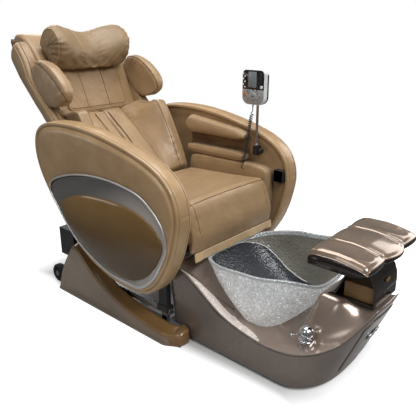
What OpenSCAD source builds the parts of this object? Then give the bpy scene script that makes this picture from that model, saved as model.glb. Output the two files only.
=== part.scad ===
// Pedicure spa chair: a reclining massage chair on a slide base, joined to a
// pipeless foot tub with a glass bowl, a mixer tap and a tilting footrest.
//
// Frame: millimetres, +Z up, the chair faces -Y, the sitter's left arm is at +X.
// The parts are drawn with y = 0 at the top seam of the seat's front edge, and
// place() moves the whole chair so that its origin is at the middle of its footprint.

/* [Seat] */
// Width of the seat cushion
seat_w = 510; // [480:5:520]
// Height of the seam along the seat's front edge
seat_z = 571; // [560:1:600]
// Depth of the cushion behind that seam
seat_d = 418; // [380:1:420]
// Height of the seat board's top face
pan_z = 430; // [425:1:440]
// Thickness of the seat board
pan_t = 10; // [8:1:14]
// Drop of the leather skirt below the cushion
skirt_h = 34; // [20:1:40]

/* [Backrest] */
// Lean of the backrest from the vertical, degrees
back_lean = 46; // [40:1:48]
// Half width of the back shell
back_half = 236; // [220:1:240]
// Length of the back shell
back_len = 918; // [880:1:930]
// Depth of the back shell behind the pads
shell_d = 80; // [76:1:90]
// Width across each outer wing and shoulder pad
wing_w = 61; // [50:1:62]
// Half length of the head pillow
pillow_half = 210; // [180:1:220]

/* [Arms] */
// Half distance between the inner faces of the arms
arm_in = 310; // [308:1:330]
// Width of the leather band round each arm
band_w = 74; // [66:1:80]
// Thickness of the leather band
band_t = 15; // [12:1:17]
// Height of the bulge of the gloss side panel
gloss_h = 18; // [12:1:24]

/* [Foot tub] */
// Width of the tub at its top edge
tub_w = 574; // [560:1:590]
// Width of the tub at the floor
tub_floor_w = 500; // [480:1:510]
// Wall of the tub
tub_wall = 5; // [4:0.5:7]
// Depth of the deck below the tub's edge
deck_drop = 8; // [6:1:12]
// Height of the plateau under the footrest tower
plateau_z = 334; // [325:1:338]
// Half width of the glass bowl at its rim
bowl_a = 218; // [195:1:222]
// Half length of the glass bowl at its rim
bowl_b = 228; // [210:1:234]
// Height of the bowl's rim above the floor
bowl_rim_z = 385; // [370:1:395]
// Wall of the bowl
bowl_wall = 7; // [5:0.5:9]

/* [Footrest] */
// Width of the footrest
rest_w = 400; // [360:5:420]
// Width of the tower under the footrest
tower_w = 170; // [150:2:180]
// Height of the tower above the plateau
tower_h = 126; // [118:1:132]

/* [Base] */
// Distance from the chair's middle to the middle of each slide rail
rail_x = 280; // [276:1:282]
// Height of the slide rails' top face
rail_z = 130; // [120:1:140]
// Radius of the rear wheels
wheel_r = 45; // [35:1:46]
// Height of the glides under the frame and the tub
foot_h = 12; // [10:1:16]

/* [Handset] */
// Width of the handset
remote_w = 120; // [100:1:130]
// Height of the handset
remote_h = 150; // [130:1:160]
// Thickness of the handset
remote_t = 38; // [30:1:42]
// Radius of the chrome stalk that carries it
stalk_r = 6; // [5:0.5:8]
// Radius of a curl of the handset cord, to the middle of the wire
curl_r = 7; // [5:0.5:8]
// Diameter of the handset cord's wire
wire_d = 3.8; // [3:0.1:4]

/* [Hidden] */

// Finishes
leather = "#a98b66";
gloss_brown = "#5a4128";
bronze = "#8d7b6e";
silver = "#c4c6c8";
steel = "#9a9da1";
black = "#1c1c1e";
chrome = "#d8dadd";

// Gap between pieces that sit on each other, and the running gap of pins
seat_gap = 0.3;
run_gap = 0.06;
// Overlap that carries a cut past the face it opens
cut = 1;
// Middle of the chair's length, in the drawing frame
mid_y = 198.85;

module place() {
    translate([0, -mid_y, 0]) children();
}

// ---------------------------------------------------------------- helpers

// One Catmull-Rom span between b and c, at t from 0 to 1
function cr_point(a, b, c, d, t) =
    0.5 * (2 * b + (c - a) * t + (2 * a - 5 * b + 4 * c - d) * t * t
    + (3 * b - a - 3 * c + d) * t * t * t);

// Smooth closed curve through the points p, k steps for each span
function closed_curve(p, k) = let (n = len(p)) [
    for (i = [0 : n - 1], j = [0 : k - 1])
        cr_point(p[(i + n - 1) % n], p[i], p[(i + 1) % n], p[(i + 2) % n], j / k)
];

// Smooth open curve through the points p, k steps for each span
function open_curve(p, k) = let (n = len(p)) concat([
    for (i = [0 : n - 2], j = [0 : k - 1])
        cr_point(p[max(i - 1, 0)], p[i], p[i + 1], p[min(i + 2, n - 1)], j / k)
], [p[n - 1]]);

// Value at x of a line through the pairs [x, value], which rise in x
function at(table, x) = lookup(x, table);

// The anticlockwise outline p moved inwards by d, square to itself
function inset(p, d) = let (n = len(p)) [
    for (i = [0 : n - 1]) let (t = p[(i + 1) % n] - p[(i + n - 1) % n])
        p[i] + [-t.y, t.x] / norm(t) * d
];

// The flat outline p, given in y and z, at the place x
function at_x(p, x) = [for (q = p) [x, q.x, q.y]];

// Smooth step from 0 at a to 1 at b
function smooth(a, b, x) = let (t = max(0, min(1, (x - a) / (b - a)))) t * t * (3 - 2 * t);

// Superellipse of half sizes a and b and power e, centred on [x, y]
function superellipse(a, b, e, n, x = 0, y = 0) = [
    for (i = [0 : n - 1]) let (t = 360 * i / n, c = cos(t), s = sin(t))
        [x + a * sign(c) * pow(abs(c), 2 / e), y + b * sign(s) * pow(abs(s), 2 / e)]
];

// Solid through a stack of rings that have as many points each. The points run
// anticlockwise, seen from the end that the stack grows towards.
module loft(rings) {
    n = len(rings[0]);
    m = len(rings);
    base = [for (r = rings) each r];
    ends = [mean(rings[0]), mean(rings[m - 1])];
    faces = concat(
        [for (i = [0 : m - 2], j = [0 : n - 1], h = [0, 1]) let (k = (j + 1) % n)
            h == 0 ? [i * n + j, (i + 1) * n + j, (i + 1) * n + k]
                   : [i * n + j, (i + 1) * n + k, i * n + k]],
        [for (j = [0 : n - 1]) [m * n, j, (j + 1) % n]],
        [for (j = [0 : n - 1]) [m * n + 1, (m - 1) * n + (j + 1) % n, (m - 1) * n + j]]);
    polyhedron(concat(base, ends), faces, convexity = 6);
}

function mean(p) = [for (k = [0 : len(p[0]) - 1]) sum([for (q = p) q[k]]) / len(p)];
function sum(v, i = 0) = i < len(v) ? v[i] + sum(v, i + 1) : 0;

// Ring-shaped solid: sections with as many points each, the last joined to the first
module loop_loft(sections) {
    n = len(sections[0]);
    m = len(sections);
    polyhedron([for (s = sections) each s], [
        for (i = [0 : m - 1], j = [0 : n - 1], h = [0, 1])
            let (k = (j + 1) % n, l = (i + 1) % m)
                h == 0 ? [i * n + j, l * n + j, l * n + k] : [i * n + j, l * n + k, i * n + k]
    ], convexity = 8);
}

// Rectangle w by h with corners of radius r, centred
module round_rect(w, h, r) {
    square([w - 2 * r, h], center = true);
    square([w, h - 2 * r], center = true);
    for (x = [-1, 1], y = [-1, 1])
        translate([x * (w / 2 - r), y * (h / 2 - r)]) circle(r, $fn = 32);
}

// Box between two corners
module box(low, high) {
    translate(low) cube(high - low);
}

// Cylinder along X from x0 to x1 with its axis at y, z
module rod_x(x0, x1, y, z, r) {
    translate([x0, y, z]) rotate([0, 90, 0]) cylinder(h = x1 - x0, r = r, $fn = 48);
}

// Flat shape given in y and z, made x0 to x1 thick along X
module plate_x(x0, x1) {
    translate([x0, 0, 0]) rotate([90, 0, 90]) linear_extrude(x1 - x0) children();
}

// The children as they are and mirrored to the other side of the chair
module both_sides() {
    children();
    mirror([1, 0, 0]) children();
}

// The children on the sitter's left, side = 1, or mirrored to the right, side = -1
module on_side(side) {
    if (side > 0) children();
    else mirror([1, 0, 0]) children();
}

// ---------------------------------------------------------------- slide base

frame_low = 30;                  // underside of the base frame's tubes
frame_h = 30;
frame_y = [-4, 755];             // ends of its long sides
cross_y = [60, 380, 700];        // cross members
axle_y = 805;
axle_z = wheel_r + 3;
axle_r = 8;
wheel_x = [285, 315];
rail_y = [40, 660];
rail_w = 24;
upright_y = [60, 350, 640];
box_low = [-300, 665, 165];      // power box
box_high = [-180, 775, 300];
rocker = [20, 9, 28];
rocker_c = [-240, box_high.y, 245];

module base_frame() color(steel) {
    both_sides() {
        box([rail_x - 20, frame_y[0], frame_low], [rail_x + 20, frame_y[1], frame_low + frame_h]);
        // Plate and axle of the rear wheel
        box([rail_x - 20, 700, frame_low], [rail_x - 8, axle_y + 15, axle_z + 15]);
        rod_x(rail_x - 20, wheel_x[1] + 0.5, axle_y, axle_z, axle_r);
        rod_x(wheel_x[1] + 0.5, wheel_x[1] + 4, axle_y, axle_z, axle_r + 5);
    }
    for (y = cross_y)
        box([20 - rail_x, y - 15, frame_low], [rail_x - 20, y + 15, frame_low + frame_h]);
    // Posts that carry the power box, and the tie that holds the tub
    for (x = [box_low.x + 20, box_high.x - 32])
        box([x, 690, frame_low + frame_h], [x + 12, 710, box_low.z]);
    for (x = [-120, 120])
        box([x - 15, tub_rear, frame_low], [x + 15, cross_y[0] - 15, frame_low + frame_h]);
}

module slide_rails() color(steel) both_sides() {
    box([rail_x - rail_w / 2, rail_y[0], rail_z - 25], [rail_x + rail_w / 2, rail_y[1], rail_z]);
    for (y = upright_y)
        box([rail_x - 8, y, frame_low + frame_h], [rail_x + 8, y + 30, rail_z - 25]);
}

// Height of the base covers' inner upper edge along the chair
cover_top = open_curve([[-42, 62], [-20, 70], [40, 78], [120, 85], [300, 120], [470, 200],
    [585, 288], [640, 235], [700, 140], [742, 24]], 3);
cover_x = [300, 352];
cover_t = 5;

module base_covers() color(bronze) both_sides() {
    low = 2;
    // Side wall, with the groove of the skirting line
    difference() {
        loft([for (q = cover_top) let (h = max(low + 8, q.y - 18), n = nose_in(q.x))
            [[cover_x[1] - n, q.x, low], [cover_x[1] - cover_t - n, q.x, low],
            [cover_x[1] - cover_t - n, q.x, h - 3], [cover_x[1] - n, q.x, h]]]);
        box([cover_x[1] - 1, 0, 12], [cover_x[1] + cut, 760, 14]);
    }
    // Top face, which rises towards the chair
    loft([for (q = cover_top) let (h = max(low + 8, q.y - 18), n = nose_in(q.x))
        [[cover_x[1] - n, q.x, h - 6], [cover_x[0] - n, q.x, q.y - 5],
        [cover_x[0] - n, q.x, q.y], [cover_x[1] - n, q.x, h]]]);
    // Lugs on the frame
    for (y = [40, 360, 660])
        box([rail_x + 20, y, frame_low], [cover_x[1] - 3, y + 16, frame_low + 16]);
}

// How far the covers draw in towards their front end
function nose_in(y) = 34 * (1 - smooth(-46, 30, y));

module levelling_feet() color(black) {
    for (x = [-rail_x, rail_x], y = [10, 690]) translate([x, y, 0]) {
        cylinder(h = 9, r = 20, $fn = 40);
        cylinder(h = frame_low, r = 6, $fn = 24);
    }
    for (x = [-220, 220], y = [0, -450]) translate([x, y, 0])
        cylinder(h = foot_h, r = 14, $fn = 32);
    translate([0, -560, 0]) cylinder(h = foot_h, r = 14, $fn = 32);
}

module power_box() color(black) difference() {
    union() {
        box(box_low, box_high);
        // Ribs of its rear face
        for (z = [180, 192, 204])
            box([box_low.x + 10, box_high.y, z], [box_high.x - 10, box_high.y + 2, z + 5]);
    }
    translate(rocker_c - [rocker.x / 2 + 1, 14, rocker.z / 2 + 2])
        cube([rocker.x + 2, 14 + cut, rocker.z + 4]);
    rod_x(rocker_c.x - 14, rocker_c.x + 14, rocker_c.y - 4, rocker_c.z, 2 + run_gap);
    // Mains inlet
    translate([rocker_c.x + 22, rocker_c.y - 12, rocker_c.z - 10]) cube([24, 12 + cut, 20]);
}

module power_switch() color(black) {
    difference() {
        translate(rocker_c - [rocker.x / 2, 7, rocker.z / 2]) cube(rocker);
        // The two faces of the rocker lean away from its middle
        for (s = [-1, 1]) translate(rocker_c + [0, 2.5, s * rocker.z / 2]) rotate([s * -9, 0, 0])
            translate([-15, 0, -15]) cube([30, 10, 30]);
    }
    rod_x(rocker_c.x - 13.5, rocker_c.x + 13.5, rocker_c.y - 4, rocker_c.z, 2);
}

module wheel(side) color(black) on_side(side) difference() {
    union() {
        rod_x(wheel_x[0], wheel_x[1], axle_y, axle_z, wheel_r - 3);
        rod_x(wheel_x[0] + 4, wheel_x[1] - 4, axle_y, axle_z, wheel_r);
    }
    rod_x(wheel_x[0] - cut, wheel_x[1] + cut, axle_y, axle_z, axle_r + run_gap);
    for (a = [0 : 72 : 359]) translate([0, axle_y, axle_z]) rotate([a, 0, 0])
        rod_x(wheel_x[0] - cut, wheel_x[1] + cut, 24, 0, 7);
    rod_x(wheel_x[1] - 4, wheel_x[1] + cut, axle_y, axle_z, 33);
}

module wheel_left() wheel(1);
module wheel_right() wheel(-1);

// ---------------------------------------------------------------- foot tub

tub_ref = 345;        // height at which the tub has its full width
tub_rear = 42;
nose_c = [-440, -500];  // middle of the nose's curve, at the floor and at tub_ref
nose_b = [160, 238];
nose_e = [2.6, 2.4];
bowl_c = -290.5;
bowl_back = 42;         // how much further the bowl reaches under the seat
deck_z = 150;           // flat of the deck, where the bowl stands
tub_rings = 7;

// The tub's edge, seen from the side: heights against y, rising in y
tub_lip = open_curve([[-770, 345], [-734, 338], [-721, 316], [-686, 262], [-640, 212], [-554, 174],
    [-440, 152], [-325, 162], [-204, 200], [-107, 268], [-16, 326], [70, 332]], 4);

// Stations round the tub's plan: [which, 0 to 1], 0 left side, 1 rear, 2 right side, 3 nose
tub_stations = concat([for (i = [0 : 11]) [0, i / 11]], [for (i = [1 : 4]) [1, i / 4]],
    [for (i = [1 : 11]) [2, i / 11]], [for (i = [1 : 19]) [3, i / 20]]);

// Point of the tub's plan at station s and height z, moved inwards by d
function tub_plan(s, z, d) = let (
    u = z / tub_ref,
    a = (tub_floor_w + (tub_w - tub_floor_w) * u) / 2 - d,
    c = nose_c[0] + (nose_c[1] - nose_c[0]) * u,
    b = nose_b[0] + (nose_b[1] - nose_b[0]) * u - d,
    e = 2 / (nose_e[0] + (nose_e[1] - nose_e[0]) * u),
    r = tub_rear - d
) s[0] == 0 ? [a, c + (r - c) * s[1]]
    : s[0] == 1 ? [a - 2 * a * s[1], r]
    : s[0] == 2 ? [-a, r + (c - r) * s[1]]
    : let (t = 180 + 180 * s[1]) [a * sign(cos(t)) * pow(abs(cos(t)), e),
        c - b * pow(abs(sin(t)), e)];

// Height of the tub's edge at a station, found in n steps between low and high
function lip_z(s, d, low = 100, high = 360, n = 14) = let (m = (low + high) / 2)
    n == 0 ? m : m < at(tub_lip, tub_plan(s, m, d).y) ? lip_z(s, d, m, high, n - 1)
    : lip_z(s, d, low, m, n - 1);

lip_out = [for (s = tub_stations) lip_z(s, 0)];

// Ring of the tub at the fraction u of its height
function tub_ring(u, d, low, drop = 0) = [for (i = [0 : len(tub_stations) - 1])
    let (s = tub_stations[i], z = low + (lip_out[i] - drop - low) * u, p = tub_plan(s, z, d))
        [p.x, p.y, z]];

module tub_shell() color(bronze) loft(concat(
    [for (i = [0 : tub_rings]) tub_ring(i / tub_rings, 0, foot_h)],
    [for (i = [tub_rings : -1 : 0]) tub_ring(i / tub_rings, tub_wall, foot_h + tub_wall)]));

// Joint between the deck's edge and the tub's wall
deck_gap = 1.7;

// Point of the deck between its edge (u = 0) and the bowl's foot (u = 1)
function deck_point(i, u) = let (
    s = tub_stations[i],
    z0 = lip_out[i] - deck_drop,
    p = tub_plan(s, z0, tub_wall + deck_gap),
    t = atan2((p.y - bowl_c) / 260, p.x / 260),
    q = [194 * sign(cos(t)) * pow(abs(cos(t)), 0.8), bowl_c + 130 * sign(sin(t))
        * pow(abs(sin(t)), 0.8)],
    x = p.x + (q.x - p.x) * u,
    y = p.y + (q.y - p.y) * u,
    z = z0 + (deck_z - z0) * (0.35 * u + 0.65 * smooth(0, 1, u)),
    hill = (1 - smooth(96, 190, abs(x))) * smooth(-452, -530, y) * (1 - smooth(-716, -740, y))
) [x, y, z + (plateau_z - z) * hill];

function deck_ring(u, drop) = [for (i = [0 : len(tub_stations) - 1])
    deck_point(i, u) - [0, 0, drop]];

mixer_c = [-188, -528];
drain_r = 19;

module tub_deck() color(bronze) difference() {
    steps = [0, 0.05, 0.14, 0.28, 0.44, 0.6, 0.78, 0.9, 1];
    loft(concat([for (i = [len(steps) - 1 : -1 : 0]) deck_ring(steps[i], 5)],
        [for (u = steps) deck_ring(u, 0)]));
    translate([mixer_c.x, mixer_c.y, 100]) cylinder(h = 200, r = 30.3, $fn = 48);
    translate([0, bowl_c, 100]) cylinder(h = 100, r = drain_r + seat_gap, $fn = 48);
}

// Height of the bowl's rim round its plan
function rim_z(t) = bowl_rim_z - 5 + 9 * cos(t) + 10 * sin(t) - 4 * sin(2 * t)
    + 4 * cos(3 * t) - 23 * sin(3 * t) - 75 * pow(max(0, sin(t)), 4);

// Ring of the bowl: u from 0 at the foot to 1 at the rim, d into the glass
function bowl_ring(u, d) = let (
    low = deck_z + seat_gap + d,
    f = 1 - pow(1 - u, 2.1),
    g = 0.45 * u + 0.55 * f,
    a = 178 + (bowl_a - 178) * f - d,
    b = 90 + (bowl_b - 90) * g - d,
    e = 2.9 + 0.3 * u
) [for (i = [0 : 39]) let (t = 9 * i, c = cos(t), s = sin(t))
    [a * sign(c) * pow(abs(c), 2 / e),
    bowl_c + (b + (s > 0 ? bowl_back * g : 0)) * sign(s) * pow(abs(s), 2 / e),
    low + (rim_z(t) - low) * u]];

module glass_bowl() color("#cfe3e6") difference() {
    loft(concat([for (i = [0 : 8]) bowl_ring(i / 8, 0)],
        [for (i = [8 : -1 : 0]) bowl_ring(i / 8, bowl_wall)]));
    translate([0, bowl_c, 100]) cylinder(h = 100, r = drain_r + seat_gap, $fn = 48);
}

module drain_pipe() color(chrome) {
    z = deck_z + bowl_wall + 1;
    difference() {
        union() {
            translate([0, bowl_c, 70]) cylinder(h = z - 70, r = drain_r, $fn = 48);
            translate([0, bowl_c, z]) cylinder(h = 3, r = 30, $fn = 48);
        }
        for (a = [0 : 60 : 359]) translate([0, bowl_c, 0]) rotate([0, 0, a])
            translate([11, 0, 60]) cylinder(h = 120, r = 4, $fn = 24);
    }
    // Trap and the pipe to the rear
    translate([0, bowl_c, foot_h + tub_wall]) cylinder(h = 60, r = 30, $fn = 48);
    translate([0, bowl_c, 50]) rotate([-90, 0, 0]) cylinder(h = 310, r = 12, $fn = 32);
}

// Patch on the nose of the tub, from column c0 to c1 of the nose and ring r0 to r1
module nose_patch(c0, c1, r0, r1, d0, d1) {
    n0 = len(tub_stations) - 19;
    cols = [for (i = [n0 + c0 : n0 + c1]) i];
    // Row k of the patch: the inner points, then the outer ones back
    function row(k) = let (u = k / tub_rings) concat(
        [for (i = [len(cols) - 1 : -1 : 0]) patch_point(cols[i], u, d0)],
        [for (c = cols) patch_point(c, u, d1)]);
    rings = [for (k = [r0 : r1]) row(k)];
    n = len(rings[0]);
    m = len(rings);
    h = n / 2;
    polyhedron([for (r = rings) each r], concat(
        [for (i = [0 : m - 2], j = [0 : n - 1], f = [0, 1]) let (k = (j + 1) % n)
            f == 0 ? [i * n + j, (i + 1) * n + j, (i + 1) * n + k]
                   : [i * n + j, (i + 1) * n + k, i * n + k]],
        [for (e = [0, m - 1], j = [0 : h - 2], f = [0, 1]) let (a = e * n + j,
            b = e * n + j + 1, c = e * n + n - 2 - j, d = e * n + n - 1 - j)
            e == 0 ? (f == 0 ? [a, b, c] : [a, c, d]) : (f == 0 ? [a, c, b] : [a, d, c])]));
}

function patch_point(i, u, d) = let (
    s = tub_stations[i],
    z = foot_h + (lip_out[i] - foot_h) * u,
    p = tub_plan(s, z, -d)
) [p.x, p.y, z];

module access_panel() color(bronze) nose_patch(7, 11, 1, 6, 0.6, 3.6);

// Blank oval badge, which leans with the front of the tub
module badge() {
    z = 190;
    y = tub_plan([3, 0.5], z, -4.4).y;
    lean = atan((nose_c[0] - nose_b[0] - nose_c[1] + nose_b[1]) / tub_ref);
    color(silver) translate([0, y, z]) rotate([90 + lean, 0, 0]) {
        scale([2, 1, 1]) cylinder(h = 2.5, r = 22, $fn = 64);
        difference() {
            scale([2, 1, 1]) cylinder(h = 4, r = 22, $fn = 64);
            scale([2.04, 1, 1]) translate([0, 0, -cut]) cylinder(h = 6, r = 19.5, $fn = 64);
        }
    }
}
mixer_top = 196;

module mixer_base() color(chrome) translate([mixer_c.x, mixer_c.y, 0]) {
    translate([0, 0, 136]) cylinder(h = mixer_top - 141, r = 30, $fn = 48);
    translate([0, 0, mixer_top - 5]) cylinder(h = 5, r1 = 30, r2 = 27, $fn = 48);
    translate([0, 0, mixer_top]) cylinder(h = 14, r = 17, $fn = 40);
    translate([0, 0, mixer_top + 14]) cylinder(h = 14, r = 9, $fn = 32);
}

module mixer_knob() color(chrome) translate([mixer_c.x, mixer_c.y, mixer_top + 14.4]) {
    difference() {
        cylinder(h = 28, r = 20, $fn = 48);
        translate([0, 0, -cut]) cylinder(h = 15, r = 9 + run_gap, $fn = 32);
    }
    translate([0, 0, 28]) cylinder(h = 6, r1 = 20, r2 = 13, $fn = 48);
    // Pin lever
    rotate([0, 0, 165]) translate([14, 0, 20]) rotate([0, 82, 0]) {
        cylinder(h = 58, r = 3.5, $fn = 24);
        translate([0, 0, 58]) sphere(r = 5.5, $fn = 24);
    }
}

// ---------------------------------------------------------------- footrest

tower_z = plateau_z + seat_gap;
pivot_y = -640;
pivot_z = plateau_z + tower_h + 16;
pivot_r = 7;
rest_z = pivot_z + 18;           // underside of the footrest, on its carrier

// Side view of the tower, outside, and of the window through it
tower_out = [[-536, 0], [-560, 12], [-576, 40], [-592, 78], [-604, tower_h - 22],
    [-607, tower_h - 6], [-607, tower_h], [-672, tower_h], [-684, tower_h - 6],
    [-698, tower_h - 22], [-708, 78], [-711, 50], [-711, 0]];
tower_in = [[-566, 0], [-581, 36], [-598, 78], [-612, tower_h - 20], [-620, tower_h - 10],
    [-668, tower_h - 10], [-682, tower_h - 22], [-698, 74], [-704, 48], [-704, 0]];

module foot_tower() color(bronze) difference() {
    plate_x(-tower_w / 2, tower_w / 2) translate([0, tower_z]) polygon(tower_out);
    plate_x(-tower_w, tower_w) translate([0, tower_z]) difference() {
        polygon(tower_in);
        translate([-710, -cut]) square([200, 4 + cut]);
    }
    // Two seams across the front
    for (z = [370, 400]) box([-tower_w, -720, z], [tower_w, -710, z + 1.5]);
}

module tower_core() color(gloss_brown) {
    box([-tower_w / 2 + 14, -698, tower_z + 4], [tower_w / 2 - 14, -592, tower_z + 62]);
    // Catch of the front seam
    box([-14, -714, 405], [14, -709, 417]);
}

// Lugs on the tower's top that hold the footrest's axle
module footrest_bracket() color(steel) {
    box([-60, -668, tower_z + tower_h], [60, -612, tower_z + tower_h + 4]);
    for (x = [-50, 40]) difference() {
        plate_x(x, x + 10) hull() {
            translate([pivot_y, pivot_z]) circle(r = 11, $fn = 32);
            translate([pivot_y - 14, tower_z + tower_h + 3]) square([28, 1]);
        }
    }
    rod_x(-66, 66, pivot_y, pivot_z, pivot_r);
}

module footrest_carrier() color(steel) {
    for (x = [-64, 54]) difference() {
        plate_x(x, x + 10) union() {
            translate([pivot_y, pivot_z]) circle(r = 11, $fn = 32);
            translate([pivot_y - 11, pivot_z]) square([22, 16]);
        }
        rod_x(x - cut, x + 11, pivot_y, pivot_z, pivot_r + run_gap);
    }
    box([-134, pivot_y - 40, pivot_z + 12.5], [134, pivot_y + 50, rest_z - seat_gap]);
}

// Height of the footrest's underside and top across it; its rim hangs down at the
// sides and towards the chair
rest_drop = 16;
function rest_low(x, y) = rest_z + lookup(y, [[-747, 10], [-729, 4], [-695, 0]])
    - rest_drop * max(smooth(-578, -560, y), (abs(x) > 150 ? 1 : 0) * smooth(-735, -660, y));
function rest_top(y) = rest_z + lookup(y, [[-747, 20], [-735, 25], [-703, 32], [-656, 42],
    [-614, 47], [-547, 45], [-519, 39], [-512, 31]]);

// How far along y the footrest reaches, at the place x: the middle lobe is longest
function rest_y(x, v) = let (lobe = abs(x) < 75 ? 1 - pow(x / 75, 2)
    : 0.35 * (1 - pow((abs(x) - 137) / 63, 2)), front = -726 - 21 * lobe)
    front + (-512 - front) * v;

// Rise of the ribs, of the crown of each lobe and the dish for the sole
function rest_rise(x, y) = let (
    rib = 6 * exp(-pow((abs(x) - 75) / 7, 2)),
    crown = abs(x) < 75 ? 3 * (1 - pow(x / 75, 2)) : 4 * (1 - pow((abs(x) - 137) / 62, 2)),
    sole = max(0, 1 - pow((abs(x) - 137) / 44, 2) - pow((y + 625) / 88, 2)),
    far = smooth(-700, -735, y)
) (rib * (1 - far) + crown - 11 * sqrt(sole) * (sole > 0 ? 1 : 0)) * (1 - 0.5 * far);

rest_v = [0.03, 0.09, 0.17, 0.26, 0.36, 0.47, 0.58, 0.69, 0.8, 0.9, 0.97];

module footrest() color(bronze) {
    half = rest_w / 2;
    xs = [-half, 6 - half, 20 - half, -160, -137, -114, -96, -84, -75, -66, -45, -20,
        20, 45, 66, 75, 84, 96, 114, 137, 160, half - 20, half - 6, half];
    loft([for (x = xs) let (e = abs(x) > half - 2 ? 1 : abs(x) > half - 8 ? 0.35 : 0)
        concat([for (v = rest_v) let (y = rest_y(x, v)) [x, y, rest_low(x, y) + 3 * e]],
        [for (i = [len(rest_v) - 1 : -1 : 0]) let (v = rest_v[i], y = rest_y(x, v))
            [x, y, rest_top(y) + rest_rise(x, y) - 6 * e]])]);
}

// ---------------------------------------------------------------- seat

hinge_y = seat_d + 32;           // recline hinge
hinge_z = 500;
hinge_r = 8;
seat_rail_x = 200;
rail_top = pan_z - pan_t;        // top of the seat frame
post_y = [[55, 100], [hinge_y, hinge_y + 45]];
pivot_a = [100, 360];            // actuator's pin on the seat frame, in y and z
pivot_b = [hinge_y + 70, 370];   // and on the backrest's lever
pin_r = 6;

module seat_frame() color(black) {
    both_sides() {
        box([seat_rail_x - 12.5, 0, rail_top - 25],
            [seat_rail_x + 12.5, hinge_y + 20, rail_top]);
        for (p = post_y) {
            box([rail_x - 12.5, p[0], rail_z + 3], [rail_x + 12.5, p[1], rail_top]);
            box([seat_rail_x, p[0] + 8, rail_top - 25], [rail_x, p[0] + 33, rail_top]);
            // Shoe that holds the slide rail
            difference() {
                box([rail_x - 17, p[0] - 8, rail_z - 21], [rail_x + 17, p[1] + 8, rail_z + 8]);
                box([rail_x - rail_w / 2 - run_gap, p[0] - 9, rail_z - 30],
                    [rail_x + rail_w / 2 + run_gap, p[1] + 9, rail_z + run_gap]);
            }
        }
        // Brackets of the arm
        for (y = [post_y[0][0] + 5, post_y[1][0] + 5])
            box([rail_x + 12, y, 340], [panel_x[0], y + 30, 372]);
        // Ear and pin of the recline hinge
        difference() {
            plate_x(seat_rail_x + 5, seat_rail_x + 15) union() {
                translate([hinge_y, hinge_z]) circle(r = 18, $fn = 48);
                translate([hinge_y - 18, rail_top - 20]) square([36, hinge_z - rail_top + 20]);
            }
        }
        rod_x(seat_rail_x - 10, seat_rail_x + 12, hinge_y, hinge_z, hinge_r);
    }
    for (y = [63, 207]) box([-seat_rail_x, y, rail_top - 25], [seat_rail_x, y + 25, rail_top]);
    // Clevis of the actuator
    for (x = [-24, 16]) plate_x(x, x + 8) hull() {
        translate(pivot_a) circle(r = 14, $fn = 32);
        translate([65, rail_top - 20]) square([22, 1]);
    }
    rod_x(-28, 28, pivot_a.x, pivot_a.y, pin_r);
}

module seat_pan() color(gloss_brown)
    box([6 - seat_w / 2, -40, rail_top], [seat_w / 2 - 6, seat_d - 8, pan_z]);

// Side view of the seat cushion: the front rolls over the edge of the pan
cushion_side = concat([[-45, 391]], open_curve([[-60, 391], [-68, 446], [-56, 500],
    [-20, seat_z], [60, seat_z - 1], [220, seat_z - 10], [380, seat_z - 18],
    [seat_d - 10, seat_z - 28], [seat_d, seat_z - 70], [seat_d - 3, pan_z + 8]], 2),
    [[seat_d - 20, pan_z + seat_gap], [200, pan_z + seat_gap], [-45, pan_z + seat_gap]]);

module seat_cushion() color(leather) {
    half = seat_w / 2;
    // Stations across the seat: place and how far the sides draw in there
    xs = [[-half, 26], [3 - half, 12], [12 - half, 3], [32 - half, 0], [-120, -5],
        [120, -5], [half - 32, 0], [half - 12, 3], [half - 3, 12], [half, 26]];
    rev = [for (i = [len(cushion_side) - 1 : -1 : 0]) cushion_side[i]];
    loft([for (s = xs) [for (q = rev) let (
        up = smooth(pan_z + 10, pan_z + 90, q.y),
        back = q.x > 0 ? smooth(300, seat_d, q.x) : 0,
        fore = q.x < 0 ? smooth(-30, -66, q.x) : 0,
        d = s[1])
        [s[0], q.x + max(0, d) * 0.5 * (fore - back), q.y - d * up * (1 - 0.3 * fore)]]]);
}

// Leather skirt below the front roll, with its folds
module seat_skirt() color(leather) loft([
    for (i = [0 : 16]) let (x = -250 + 500 * i / 16, w = 2.2 * sin(100 * i))
        [[x, -66 + w, 390.6 - skirt_h], [x, -60 + w, 390.6 - skirt_h],
        [x, -59, 390.6], [x, -65, 390.6]]
]);

// ---------------------------------------------------------------- arms

panel_x = [318, 350];
cushion_x = 390;                 // outer face of the arm's padded side
band_out = arm_in + band_w;

// Side view of an arm, anticlockwise from the top of its front
pod = closed_curve([[-95, 490], [-55, 370], [20, 260], [120, 215], [300, 225], [480, 300],
    [630, 445], [735, 585], [768, 700], [735, 790], [620, 832], [400, 832], [180, 795],
    [20, 745], [-70, 680], [-105, 590]], 3);

// Line of the silver ring on the arm's side
ring_line = closed_curve([[-30, 392], [16, 314], [86, 254], [150, 243], [294, 257],
    [461, 324], [549, 392], [622, 478], [660, 528], [652, 568], [600, 598], [480, 634],
    [330, 653], [180, 648], [60, 620], [-30, 545], [-56, 462]], 2);
ring_r = 4;

// Edge of the gloss side panel
gloss_line = closed_curve([[-18, 402], [24, 340], [84, 290], [158, 264], [267, 268],
    [384, 300], [476, 350], [548, 410], [590, 486], [533, 524], [430, 557], [297, 572],
    [177, 571], [66, 550], [-8, 508], [-38, 458]], 2);

module arm_panel(side) color(gloss_brown) on_side(side)
    plate_x(panel_x[0], panel_x[1]) polygon(inset(pod, band_t + seat_gap));

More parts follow.
